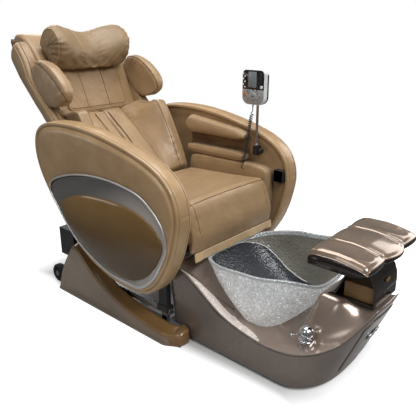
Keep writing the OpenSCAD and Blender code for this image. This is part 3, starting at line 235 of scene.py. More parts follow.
def skin(name: str, grid: Array, close_u: bool = False) -> bpy.types.Object:
    """A surface through a (u, v, 3) grid of points, whose rows are closed rings.

    The last row joins the first if close_u says so; otherwise both get a face.
    """
    nu, nv = grid.shape[:2]
    i = np.arange(nu if close_u else nu - 1)[:, None]
    j = np.arange(nv)[None, :]
    i1, j1 = (i + 1) % nu, (j + 1) % nv
    quads = np.stack([i * nv + j, i * nv + j1, i1 * nv + j1, i1 * nv + j], axis=-1)
    faces: list[list[int]] = quads.reshape(-1, 4).tolist()
    if not close_u:
        faces += [list(range(nv))[::-1], list(range((nu - 1) * nv, nu * nv))]
    return mesh_of(name, grid.reshape(-1, 3), faces)


def tube(name: str, path: Array, radius: Any, up: Sequence[float] = (1.0, 0.0, 0.0),
         sides: int = 10, closed: bool = False) -> bpy.types.Object:
    """A round bar along a path: circles square to the path, turned by a fixed direction.

    Args:
        name: the piece's name.
        path: (n, 3) middle line in the drawing frame.
        radius: one radius, or one for each point.
        up: direction that is never along the path.
        sides: points round the circle.
        closed: whether the bar is a ring.

    Returns:
        The new object.
    """
    if closed:
        t = np.roll(path, -1, axis=0) - np.roll(path, 1, axis=0)
    else:
        t = np.gradient(path, axis=0)
    t = unit(t)
    v = unit(np.cross(t, np.asarray(up, float)))
    return skin(name, around(path, radius, v, np.cross(t, v), sides), close_u=closed)


def lathe(name: str, profile: Any, centre: Sequence[float], sides: int = 64,
          axis: str = "z") -> bpy.types.Object:
    """A turned piece: the profile of radius and height swept round an axis."""
    p = np.asarray(profile, float)
    a = angles(sides)
    r, h = p[:, 0][:, None], np.broadcast_to(p[:, 1][:, None], (len(p), sides))
    x, y = r * np.cos(a), r * np.sin(a)
    parts = {"z": (x, y, h), "y": (x, h, y), "x": (h, x, y)}[axis]
    return skin(name, np.stack(parts, axis=-1) + np.asarray(centre, float))


def slab(name: str, outline: Array, x0: float, x1: float, edge: float = 1.5) -> bpy.types.Object:
    """A plate between two places along X, its outline in y and z, with rounded edges."""
    rings = [at_x(inset(outline, edge), x0), at_x(inset(outline, edge * 0.3), x0 + edge * 0.3),
             at_x(outline, x0 + edge), at_x(outline, x1 - edge),
             at_x(inset(outline, edge * 0.3), x1 - edge * 0.3), at_x(inset(outline, edge), x1)]
    return skin(name, np.array(rings))


def on_side(side: int, grid: Array) -> Array:
    """Points made for the left, on the given side of the chair."""
    return grid if side > 0 else grid * (-1.0, 1.0, 1.0)


def join(name: str, pieces: Sequence[bpy.types.Object]) -> bpy.types.Object:
    """One object from several, which keep their own materials."""
    bpy.ops.object.select_all(action="DESELECT")
    for piece in pieces:
        piece.select_set(True)
    bpy.context.view_layer.objects.active = pieces[0]
    bpy.ops.object.join()
    pieces[0].name = name
    return pieces[0]


# ------------------------------------------------------------------ finishes


def linear(code: str) -> tuple[float, float, float, float]:
    """An sRGB hex colour as linear light."""
    c = np.array([int(code[k : k + 2], 16) for k in (1, 3, 5)]) / 255.0
    c = np.where(c <= 0.04045, c / 12.92, ((c + 0.055) / 1.055) ** 2.4)
    return (float(c[0]), float(c[1]), float(c[2]), 1.0)


def add(tree: bpy.types.NodeTree, kind: str,
        settings: dict[Any, Any] | None = None) -> bpy.types.Node:
    """Adds a node with its settings.

    Args:
        tree: the tree of a material or of the world.
        kind: the node's type name after ShaderNode.
        settings: attribute or input to its value, or to the socket that feeds it.

    Returns:
        The new node.
    """
    node = tree.nodes.new(f"ShaderNode{kind}")
    for key, value in (settings or {}).items():
        if isinstance(value, bpy.types.NodeSocket):
            tree.links.new(value, node.inputs[key])
        elif isinstance(key, str) and hasattr(node, key):
            setattr(node, key, value)
        else:
            node.inputs[key].default_value = value
    return node


def span(tree: bpy.types.NodeTree, value: Any, start: float, end: float, low: float = 0.0,
         high: float = 1.0, kind: str = "LINEAR") -> bpy.types.NodeSocket:
    """A socket's value between start and end, mapped to the range from low to high."""
    return add(tree, "MapRange", {"From Min": start, "From Max": end, "To Min": low,
                                  "To Max": high, "interpolation_type": kind,
                                  "Value": value}).outputs["Result"]


def maths(tree: bpy.types.NodeTree, operation: str, first: Any,
          second: Any) -> bpy.types.NodeSocket:
    """Two sockets or numbers joined by an operation."""
    return add(tree, "Math", {"operation": operation, 0: first, 1: second}).outputs[0]


def tinted(tree: bpy.types.NodeTree, share: Any, first: Any, code: str) -> bpy.types.NodeSocket:
    """A colour that passes to another by a share."""
    return add(tree, "Mix", {"data_type": "RGBA", "clamp_factor": True, 0: share, 6: first,
                             7: linear(code)}).outputs[2]


class Surface(Enum):
    """How a finish's surface was made, which gives its pattern."""

    GRAIN = "pebbled leather grain with soft creases"
    HAMMERED = "hammered glass"
    FLAKE = "metallic paint with fine flakes"
    SMOOTH = "polished or moulded, with only faint unevenness"
    SPARK = "fine moulded texture"


@dataclass(frozen=True)
class Finish:
    """One real material and how its surface was made.

    Colours are sRGB; lengths are millimetres on the real surface; edge is the colour seen
    where the surface turns away from the eye; glow is painted light: an emission set in
    bright and dark hammered facets, a painted glow with painted glints; fade is painted
    light and shade: a colour reached across the object, along the direction and between
    the two places (metres) in run.
    """

    name: str
    colour: str
    shade: str
    surface: Surface
    slot: str
    roughness: float = 0.4
    metallic: float = 0.0
    coat: float = 0.0
    sheen: float = 0.0
    ior: float = 1.5
    transmission: float = 0.0
    grain_mm: float = 3.0
    relief_mm: float = 0.3
    patch_mm: float = 90.0
    edge: str = ""
    glow: float = 0.0
    fade: str = ""
    run: tuple[float, ...] = (0.0, 0.0, 1.0, 0.0, 1.0)

    def build(self) -> bpy.types.Material:
        """Makes the finish's node material, once."""
        made = bpy.data.materials.get(self.name)
        if made:
            return made
        made = bpy.data.materials.new(self.name)
        made.use_nodes = True
        tree = made.node_tree
        tree.nodes.clear()
        place = add(tree, "TexCoord").outputs["Object"]
        patch = add(tree, "TexNoise", {"Scale": METRE / self.patch_mm, "Detail": 4.0,
                                       "Roughness": 0.55, "Vector": place}).outputs["Fac"]
        colour = tinted(tree, span(tree, patch, 0.35, 0.75), linear(self.colour), self.shade)
        # Painted light and shade: the colour passes to the fade colour across the object.
        if self.fade:
            along = add(tree, "VectorMath", {"operation": "DOT_PRODUCT", 0: place,
                                             1: self.run[:3]}).outputs["Value"]
            share = span(tree, along, self.run[3], self.run[4], kind="SMOOTHSTEP")
            colour = tinted(tree, share, colour, self.fade)
        if self.edge:
            slant = add(tree, "LayerWeight", {"Blend": 0.42}).outputs["Facing"]
            colour = tinted(tree, slant, colour, self.edge)
        bump_map = add(tree, "Bump", {"Strength": 0.9, "Distance": self.relief_mm / METRE,
                                      "Height": self.relief(tree, place, patch)})
        rough = span(tree, patch, 0.3, 0.7, self.roughness * 0.85,
                     min(1.0, self.roughness * 1.2))
        shader = add(tree, "BsdfPrincipled",
                     {"Metallic": self.metallic, "Coat Weight": self.coat,
                      "Coat Roughness": 0.06, "Sheen Weight": self.sheen,
                      "Sheen Roughness": 0.4, "IOR": self.ior,
                      "Transmission Weight": self.transmission, "Base Color": colour,
                      "Roughness": rough, "Normal": bump_map.outputs["Normal"]})
        # Painted light: the surface glows in a pattern of facets, a painted glow with painted
        # glints.
        if self.glow:
            shader.inputs["Emission Color"].default_value = linear(self.colour)
            tree.links.new(maths(tree, "MULTIPLY", self.facets(tree, place), self.glow * 2.4),
                           shader.inputs["Emission Strength"])
        add(tree, "OutputMaterial", {"Surface": shader.outputs["BSDF"]})
        return made

    def facets(self, tree: bpy.types.NodeTree, place: Any) -> bpy.types.NodeSocket:
        """Bright and dark facets of hammered glass, as levels of painted light for the glow."""
        facet = add(tree, "TexNoise", {"Scale": 900.0 / self.grain_mm, "Detail": 2.5,
                                       "Distortion": 2.4, "Vector": place})
        glint = add(tree, "ValToRGB", {"Fac": facet.outputs["Fac"]})
        stops = glint.color_ramp.elements
        for k, (at, level) in enumerate(((0.30, 1.0), (0.37, 0.46), (0.46, 0.44), (0.50, 0.06),
                                         (0.54, 0.42), (0.61, 0.46), (0.66, 1.0))):
            stop = stops[k] if k < 2 else stops.new(at)
            stop.position, stop.color = at, (level, level, level, 1)
        return glint.outputs["Color"]

    def relief(self, tree: bpy.types.NodeTree, place: Any, patch: Any) -> bpy.types.NodeSocket:
        """The height that the finish's bump reads."""
        if self.surface in (Surface.FLAKE, Surface.SMOOTH):
            return patch
        fine = add(tree, "TexVoronoi", {"Scale": METRE / self.grain_mm, "Randomness": 1.0,
                                        "Vector": place}).outputs["Distance"]
        if self.surface is Surface.HAMMERED:
            soft = add(tree, "TexNoise", {"Scale": METRE / (self.grain_mm * 0.8),
                                          "Detail": 2.0, "Vector": place})
            return maths(tree, "ADD", fine, soft.outputs["Fac"])
        if self.surface is Surface.GRAIN:
            crease = add(tree, "TexNoise", {"Scale": METRE / CREASE_MM, "Detail": 3.0,
                                            "Distortion": 0.6, "Vector": place})
            return maths(tree, "ADD", fine, maths(tree, "MULTIPLY", crease.outputs["Fac"], 5.0))
        return fine


# Split cowhide with a pigmented, embossed top coat: warm, half glossy, softly creased
LEATHER = Finish("pigmented_tan_leather", "#A08462", "#927553", Surface.GRAIN, "tan_leather",
                 roughness=0.37, sheen=0.08, coat=0.12, grain_mm=2.6, relief_mm=0.3)
# The same hide on the arms, with a thicker, glossier top coat; its lighter colour is painted light
# on the arms' sides
ARM_HIDE = Finish("glossy_tan_leather", "#B0916B", "#9F8059", Surface.GRAIN, "tan_leather",
                  roughness=0.34, coat=0.28, grain_mm=2.6, relief_mm=0.25)
# The head pillow's hide, painted a shade darker than the seat's: painted shade
PILLOW_HIDE = Finish("darkened_tan_leather", "#8E7657", "#7E684A", Surface.GRAIN, "tan_leather",
                     roughness=0.44, sheen=0.05, grain_mm=2.6, relief_mm=0.3)
# The same hide in piping and the narrow strip along the seams, a little lighter
PIPING = Finish("tan_leather_piping", "#AE9069", "#977853", Surface.GRAIN, "tan_leather",
                roughness=0.4, sheen=0.1, grain_mm=2.0, relief_mm=0.15)
# Thin, soft hide of the skirt and the folds, paler than the seat's hide
SOFT_HIDE = Finish("soft_tan_hide", "#CDB08A", "#B89A74", Surface.GRAIN, "tan_leather",
                   roughness=0.48, sheen=0.15, grain_mm=2.0, relief_mm=0.2)
# Folded hide inside the arms, painted a darker brown: painted shade in the gap between the forearm
# pad and the roll
SLEEVE = Finish("brown_folded_hide", "#76593A", "#5C452C", Surface.GRAIN, "tan_leather",
                roughness=0.5, sheen=0.1, grain_mm=2.4, relief_mm=0.3)
# Gap of a seam between two panels, where dust and shade collect
SEAM = Finish("seam_shadow", "#4E3A25", "#3E2D1C", Surface.SPARK, "tan_leather",
              roughness=0.8, grain_mm=1.5, relief_mm=0.1)
# Bonded nylon thread, a shade lighter than the hide
THREAD = Finish("bonded_nylon_thread", "#C2A57E", "#B3956D", Surface.SPARK, "tan_leather",
                roughness=0.6, grain_mm=1.0, relief_mm=0.02)
# Sprayed and lacquered ABS: deep brown under a clear coat; lighter at the top and darker towards
# the bottom, a painted reflection above and painted shade below
GLOSS = Finish("lacquered_brown_abs", "#86683F", "#735731", Surface.SMOOTH, "gloss_brown",
               roughness=0.12, coat=0.35, ior=1.3, relief_mm=0.05, patch_mm=240.0,
               fade="#4C3A22", run=(0.0, 0.0, 1.0, 0.58, 0.32))
# Gel-coated acrylic with bronze flake: pinkish taupe, bright where it curves to the light
BRONZE = Finish("bronze_flake_gelcoat", "#AA978A", "#978679", Surface.FLAKE, "tub_shell_finish",
                roughness=0.24, metallic=0.6, coat=0.55, relief_mm=0.04, patch_mm=160.0)
# The same gelcoat on the footrest, a shade deeper
REST = Finish("bronze_gelcoat_rest", "#94806F", "#806D5E", Surface.FLAKE, "tub_shell_finish",
              roughness=0.2, metallic=0.6, coat=0.6, relief_mm=0.04, patch_mm=160.0)
# The same gelcoat beside the bowl, painted pale with small glowing glints: a painted reflection of
# the hammered glass and painted glints
GLINT = Finish("bronze_gelcoat_glints", "#D8CEC8", "#B0A199", Surface.HAMMERED,
               "tub_shell_finish", roughness=0.16, metallic=0.5, grain_mm=9.0, relief_mm=1.6,
               patch_mm=24.0, glow=0.4)
# The same gelcoat on the hull's sides, which the mould left a little duller; its darker colour is
# painted shade on these upright sides
HULL = Finish("bronze_gelcoat_hull", "#7A6E65", "#675B53", Surface.FLAKE, "tub_shell_finish",
              roughness=0.28, metallic=0.4, coat=0.5, relief_mm=0.04, patch_mm=200.0)
# Dark bronze gelcoat of the tower's front; on the footrest's sides, ends and underside it is
# painted shade
DARK_BRONZE_AND_SHADE = Finish("dark_bronze_gelcoat_and_painted_shade", "#2A221E", "#201A17", Surface.FLAKE,
                     "tub_shell_finish", roughness=0.22, metallic=0.4, coat=0.35, ior=1.4,
                     relief_mm=0.03, patch_mm=160.0)
# Anodised aluminium extrusion, satin
SILVER = Finish("satin_anodised_trim", "#D4D3D1", "#C2C1BF", Surface.SMOOTH, "silver_trim",
                roughness=0.4, metallic=0.8, relief_mm=0.02)
# Painted ABS insert, dark grey at the rear; it passes to silver at the front and below, a painted
# reflection
GREY = Finish("satin_grey_insert", "#656361", "#585654", Surface.SMOOTH, "grey_inset",
              roughness=0.3, coat=0.25, ior=1.4, relief_mm=0.03, patch_mm=300.0,
              fade="#B3AAA2", run=(0.0, 0.5, 1.0, 0.70, 0.46))
# Electroplated brass: a neutral mirror
CHROME = Finish("plated_chrome", "#D5D8DB", "#C4C7CA", Surface.SMOOTH, "chrome",
                roughness=0.09, metallic=1.0, relief_mm=0.01)
# Slumped glass with a silvered tint and a hammered skin: pale, darker where it turns away, with a
# painted glow in bright facets: painted light and painted glints
GLASS = Finish("hammered_silver_glass", "#C4C5C5", "#A9ABAC", Surface.HAMMERED, "bowl_glass",
               roughness=0.1, metallic=0.25, transmission=0.12, ior=1.45, grain_mm=15.0,
               relief_mm=3.0, edge="#8C9092", glow=0.42)
# Fire-polished rim of the same glass, thick and clear, with a painted glow
GLASS_RIM = Finish("clear_glass_rim", "#9DA1A2", "#B6B9BA", Surface.HAMMERED, "bowl_glass",
                   roughness=0.06, metallic=0.3, transmission=0.3, ior=1.45, grain_mm=10.0,
                   relief_mm=2.6, glow=0.3)
# Inside of the glass above the painted shade: grey-brown, hammered, with a faint painted glow
GLASS_UPPER = Finish("hammered_smoke_glass", "#7C7A71", "#6C6A62", Surface.HAMMERED,
                     "bowl_glass", roughness=0.12, metallic=0.2, ior=1.45, grain_mm=9.0,
                     relief_mm=1.6, glow=0.12)
# Inside of the glass under the line, painted dark: painted shade of the bowl's walls, with a faint
# painted glow
GLASS_DEEP = Finish("hammered_glass_painted_shade", "#3F4145", "#323438", Surface.HAMMERED, "bowl_glass",
                    roughness=0.16, metallic=0.15, ior=1.45, grain_mm=9.0, relief_mm=1.4,
                    glow=0.12)
# Moulded black nylon and ABS
BLACK = Finish("moulded_black_nylon", "#1D1D1F", "#151516", Surface.SPARK, "black_plastic",
               roughness=0.5, grain_mm=1.5, relief_mm=0.12)
# Powder-coated steel tube
STEEL = Finish("grey_powder_coat", "#5B5C5F", "#4F5053", Surface.SPARK, "frame_steel",
               roughness=0.55, grain_mm=1.2, relief_mm=0.08)
FRAME = Finish("black_powder_coat", "#202022", "#18181A", Surface.SPARK, "black_frame",
               roughness=0.5, grain_mm=1.2, relief_mm=0.08)
# Solid rubber tread
RUBBER = Finish("solid_rubber", "#1A1A1A", "#131313", Surface.SPARK, "wheel_rubber",
                roughness=0.75, grain_mm=1.5, relief_mm=0.1)
# Ground and oiled steel
ROD = Finish("ground_steel", "#A7A9AC", "#989A9D", Surface.SMOOTH, "rod_steel",
             roughness=0.25, metallic=1.0, relief_mm=0.01)
# Base covers: taupe lacquer on the sides, glossy brown over the top and the nose
SKIRT = Finish("lacquered_taupe_cover", "#827160", "#706150", Surface.SMOOTH,
               "tub_shell_finish", roughness=0.3, metallic=0.15, coat=0.4, relief_mm=0.05,
               patch_mm=220.0)
SKIRT_TOP = Finish("lacquered_brown_cover", "#7A5C38", "#634A2B", Surface.SMOOTH,
                   "tub_shell_finish", roughness=0.22, coat=0.4, relief_mm=0.05,
                   patch_mm=220.0)
# Nine-ply birch board with its raw face
BOARD = Finish("birch_plywood", "#B08E62", "#9A7A50", Surface.SPARK, "gloss_brown",
               roughness=0.7, grain_mm=1.6, relief_mm=0.08)
# Vacuum-formed ABS, brown and semi-gloss
SHELL = Finish("vacuum_formed_brown_abs", "#5E4326", "#4E371F", Surface.SPARK, "gloss_brown",
               roughness=0.38, coat=0.15, grain_mm=1.4, relief_mm=0.05)
# The handset's plastics, in the order of its parts: case, keypad, window, face, key, cord
WHITE = Finish("light_grey_abs", "#E4E5E6", "#D6D7D9", Surface.SPARK, "remote_white",
               roughness=0.35, grain_mm=1.2, relief_mm=0.05)
KEYPAD = Finish("silver_sprayed_abs", "#A9ACAF", "#9A9DA0", Surface.SPARK, "key_grey",
                roughness=0.32, metallic=0.3, grain_mm=1.2, relief_mm=0.03)
SCREEN = Finish("liquid_crystal_window", "#7C8386", "#70777A", Surface.SMOOTH, "key_grey",
                roughness=0.3, coat=0.2, relief_mm=0.01)
BEZEL = Finish("piano_black_abs", "#141416", "#0F0F10", Surface.SMOOTH, "cord_black",
               roughness=0.18, coat=0.4, relief_mm=0.01)
ORANGE = Finish("orange_silicone_key", "#D9702C", "#C86324", Surface.SPARK, "key_orange",
                roughness=0.4, grain_mm=1.0, relief_mm=0.03)
PVC = Finish("black_pvc_sheath", "#18181A", "#121213", Surface.SPARK, "cord_black",
             roughness=0.42, grain_mm=1.2, relief_mm=0.04)
# Moulded core of the tower, caramel brown
CORE = Finish("brown_moulded_core", "#8A683C", "#6E5029", Surface.SPARK, "gloss_brown",
              roughness=0.5, grain_mm=2.0, relief_mm=0.1)


def dress(piece: bpy.types.Object, finish: Finish, body: str,
          replaces: Sequence[str] = ()) -> bpy.types.Object:
    """Gives a piece its finish and body, and hides the nodes that it stands for.

    Args:
        piece: the new piece.
        finish: what it is made of.
        body: the body that it rides on.
        replaces: nodes that it stands for.

    Returns:
        The piece.
    """
    piece.data.materials.clear()
    piece.data.materials.append(finish.build())
    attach(piece, body)
    if replaces:
        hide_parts(*replaces)
    LOG.info("%s: %s, %d faces", piece.name, body, len(piece.data.polygons))
    return piece


def parted(piece: bpy.types.Object, finishes: Sequence[Finish], index: Array) -> None:
    """Gives the piece's faces further finishes.

    Args:
        piece: a dressed piece.
        finishes: the finishes after its first one.
        index: finish of each face, 0 for the first one; faces past its end keep the first.
    """
    for finish in finishes:
        piece.data.materials.append(finish.build())
    faces = np.zeros(len(piece.data.polygons), np.int32)
    faces[: min(len(faces), index.size)] = index.ravel()[: len(faces)]
    piece.data.polygons.foreach_set("material_index", faces)


def pad(piece: bpy.types.Object, body: str, replaces: Sequence[str] = (),
        finish: Finish = LEATHER) -> bpy.types.Object:
    """A padded leather piece, dressed in its finish."""
    dress(piece, finish, body, replaces)
    return piece or piece


# ------------------------------------------------------------------ soft detail


def ripple(points: Array, lengths: Sequence[float], seed: int) -> Array:
    """Even, repeatable unevenness: a mean of sine waves in fixed random directions.

    Args:
        points: (..., 3) millimetres.
        lengths: wavelengths in millimetres, four waves for each.
        seed: chooses the directions and phases.

    Returns:
        Heights from about -1 to 1.
    """
    draw = np.random.default_rng(seed)
    total = np.zeros(points.shape[:-1])
    for length in lengths:
        way = unit(draw.normal(size=(4, 3)))
        phase = draw.uniform(0, 2 * math.pi, 4)
        total += np.sin(points @ way.T * (2 * math.pi / length) + phase).mean(axis=-1)
    return total / len(lengths) * 1.6


def outward(grid: Array) -> Array:
    """Unit normals of a grid of rings that point away from each ring's middle."""
    n = unit(np.cross(np.gradient(grid, axis=0),
                      np.roll(grid, -1, axis=1) - np.roll(grid, 1, axis=1)))
    away = grid - grid.mean(axis=1, keepdims=True)
    return n if float((n * away).sum()) > 0 else -n


def raised(grid: Array, height: Array) -> Array:
    """The grid with each point moved out along the surface's normal by its height."""
    return grid + outward(grid) * height[..., None]


def stitches(name: str, path: Array, body: str, pitch: float = 6.0, length: float = 4.2,
             r: float = 0.75) -> bpy.types.Object:
    """A row of thread stitches along a path: short spindles with six sides each.

    Args:
        name: the piece's name.
        path: (n, 3) line on the surface.
        body: the body that it rides on.
        pitch: from one stitch to the next.
        length: of each stitch.
        r: radius of the thread.

    Returns:
        The dressed piece.
    """
    run = distances(path)
    mids = np.arange(pitch / 2, run[-1], pitch)
    at = np.array([np.interp(mids + k * length / 2, run, path[:, c])
                   for k in (-1.0, -0.5, 0.5, 1.0) for c in range(3)])
    rows = at.reshape(4, 3, -1).transpose(2, 0, 1)
    t = unit(rows[:, 3] - rows[:, 0])
    v = unit(np.cross(t, np.where(np.abs(t[:, :1]) < 0.9, [[1.0, 0, 0]], [[0, 1.0, 0]])))
    points = np.stack([around(rows[:, k], r * share, v, np.cross(t, v), 6)
                       for k, share in enumerate((0.15, 1.0, 1.0, 0.15))], axis=1).reshape(-1, 3)
    n = np.arange(len(mids))[:, None, None] * 24
    i, j = np.arange(3)[None, :, None] * 6, np.arange(6)[None, None]
    j1 = (j + 1) % 6
    quads = np.stack(np.broadcast_arrays(n + i + j, n + i + j1, n + i + 6 + j1, n + i + 6 + j),
                     axis=-1).reshape(-1, 4)
    ends = np.concatenate([n[:, 0] + np.arange(6)[::-1], n[:, 0] + 18 + np.arange(6)])
    return dress(mesh_of(name, points, quads.tolist() + ends.tolist()), THREAD, body)


def piping(name: str, path: Array, body: str, r: float = 2.6, up: Sequence[float] = (1, 0, 0),
           closed: bool = False) -> bpy.types.Object:
    """Leather piping sewn along a seam."""
    return dress(tube(name, path, r, up, 10, closed), PIPING, body)


def seam_gap(name: str, path: Array, body: str, r: float = 1.5,
             up: Sequence[float] = (1, 0, 0), closed: bool = False) -> bpy.types.Object:
    """The dark gap of a seam, sunk half its width into the leather."""
    return dress(tube(name, path, r, up, 8, closed), SEAM, body)


# ------------------------------------------------------------------ seat


@dataclass(frozen=True)
class SeatSizes:
    """Sizes of the seat cushion, in millimetres; seam_row is the front seam's place among
    the samples of the side view.
    """

    width: float = 510.0
    seam: float = 571.0
    depth: float = 418.0
    pan: float = 430.3
    edge: float = 30.0
    skirt: float = 34.0
    seam_in: float = 36.0
    stitch_gap: float = 4.0
    seam_row: int = 30


@dataclass
class Seat:
    """The seat cushion with its front roll, its seams and the skirt below it."""

    sizes: SeatSizes = field(default_factory=SeatSizes)

    def side(self) -> Array:
        """Side view of the cushion, from the front's lower edge over the top."""
        s = self.sizes
        top = spline([[-60, 391], [-68, 446], [-56, 500], [-20, s.seam], [60, s.seam - 1],
                      [220, s.seam - 10], [380, s.seam - 18], [408, s.seam - 28],
                      [s.depth, s.seam - 70], [s.depth - 3, s.pan + 8]], 10)
        low = [[s.depth - 20, s.pan], [200, s.pan], [0, s.pan], [-45, s.pan], [-45, 391]]
        return np.vstack([top, low])

    def build(self) -> None:
        """Makes the cushion, its seams and the skirt."""
        s = self.sizes
        side = self.side()
        half = s.width / 2
        x = half * np.sin(np.linspace(-1, 1, 111) * math.pi / 2)
        e = np.clip((np.abs(x) - (half - s.edge)) / s.edge, 0, 1)
        d = (26 * (1 - np.sqrt(np.clip(1 - e**2, 0, 1))) - 6 * (1 - (x / half) ** 2))[:, None]
        y, z = side[None, :, 0], side[None, :, 1]
        up = smooth(s.pan + 10, s.pan + 90, z)
        back = np.where(y > 0, smooth(300, s.depth, y), 0)
        fore = np.where(y < 0, smooth(30, 66, -y), 0)
        out = np.maximum(d, 0) * 0.5 * (fore - back)
        grid = grid_of(x[:, None], y + out, z - d * up * (1 - 0.3 * fore))
        run = distances(side)
        seam = run[s.seam_row]
        top = np.clip((z - 440) / 30, 0, 1)
        edge = np.abs(np.abs(x[:, None]) - (half - s.seam_in))
        h = -2.6 * bump(run[None], seam + 4, 3.2) * (np.abs(x[:, None]) < half - 6)
        h = h - 2.4 * bump(edge, 0, 3.0) * top
        h = h + 0.9 * bump(edge, 9, 9) * np.sin(run[None] / 5.2 + 2 * np.sin(run[None] / 31)) * top
        h = h + 0.8 * bump(run[None], seam + 16, 11) * np.sin(x[:, None] / 4.6)
        h = h + 1.6 * ripple(grid, (110, 170), 3) * top + 0.5 * ripple(grid, (26, 38), 4) * top
        pad(skin("seat_cushion_leather", raised(grid, h)), "seat", ["seat_cushion"])
        for k in (-1, 1):
            line = raised(grid, h + 0.2)[nearest(x, k * (half - s.seam_in - s.stitch_gap)), 12:88]
            stitches(f"seat_side_stitches_{SIDES[k]}", line, "seat")
            line = raised(grid, h - 0.2)[nearest(x, k * (half - s.seam_in)), 14:86]
            seam_gap(f"seat_side_seam_{SIDES[k]}", line, "seat", 1.3)
        stitches("seat_front_stitches", raised(grid, h + 0.2)[6:-6, s.seam_row + 3], "seat")
        seam_gap("seat_front_seam", raised(grid, h - 0.1)[6:-6, s.seam_row], "seat", 1.5,
                 (0, 1, 0))
        self.skirt()

    def skirt(self) -> None:
        """The leather skirt: a strip that hangs in soft folds, hemmed at the bottom."""
        s = self.sizes
        x = np.linspace(-250, 250, 160)
        v = np.linspace(0, 1, 12)
        fold = (2.4 * np.sin(x / 27 + 0.4) + 1.3 * np.sin(x / 11 + 1))[:, None] * v[None]
        z = 390.4 - s.skirt * v[None] + 0 * x[:, None]
        front = grid_of(x[:, None], -65 - 1.5 * v + fold, z)
        rear = grid_of(x[:, None], -61 - 1.0 * v + fold, z)
        grid = np.concatenate([front, rear[:, ::-1]], axis=1)
        pad(skin("seat_skirt_leather", grid), "seat", ["seat_skirt"], SOFT_HIDE)


# ------------------------------------------------------------------ arms

POD = [[-95, 490], [-55, 370], [20, 260], [120, 215], [300, 225], [480, 300], [630, 445],
       [735, 585], [768, 700], [735, 790], [620, 832], [400, 832], [180, 795], [20, 745],
       [-70, 680], [-105, 590]]
RING = [[-30, 392], [16, 314], [86, 254], [150, 243], [294, 257], [461, 324], [549, 392],
        [622, 478], [660, 528], [652, 568], [600, 598], [480, 634], [330, 653], [180, 648],
        [60, 620], [-30, 545], [-56, 462]]
GLOSS_EDGE = [[-18, 402], [24, 340], [84, 290], [158, 264], [267, 268], [384, 300], [476, 350],
              [548, 410], [590, 486], [533, 524], [430, 557], [297, 572], [177, 571], [66, 550],
              [-8, 508], [-38, 458]]


POD_CENTRE, RING_CENTRE = (300.0, 520.0), (300.0, 440.0)
CROSS_SEAMS = (16, 404, 30)  # samples of the arm's outline at the band's cross seams
FORE, FORE_ANGLE = (200, 330), math.radians(225)  # the ring is widest this way from here


def polar(outline: Array, centre: Sequence[float], n: int) -> Array:
    """A closed outline with n points at equal angles round a centre."""
    d = outline - np.asarray(centre, float)
    a = np.arctan2(d[:, 1], d[:, 0])
    order = np.argsort(a)
    a, r = a[order], np.hypot(d[:, 0], d[:, 1])[order]
    at = np.linspace(-math.pi, math.pi, n, endpoint=False)
    radius = np.interp(at, a, r, period=2 * math.pi)
    return np.asarray(centre, float) + radius[:, None] * np.stack([np.cos(at), np.sin(at)], 1)


@dataclass(frozen=True)
class ArmSizes:
    """Sizes of an arm across the chair, in millimetres from its middle."""

    inner: float = 310.0
    panel: float = 318.0
    outer: float = 384.0
    face: float = 390.0
    band: float = 15.0
    ring: float = 4.0
    bulge: float = 18.0
    liner: float = 268.0


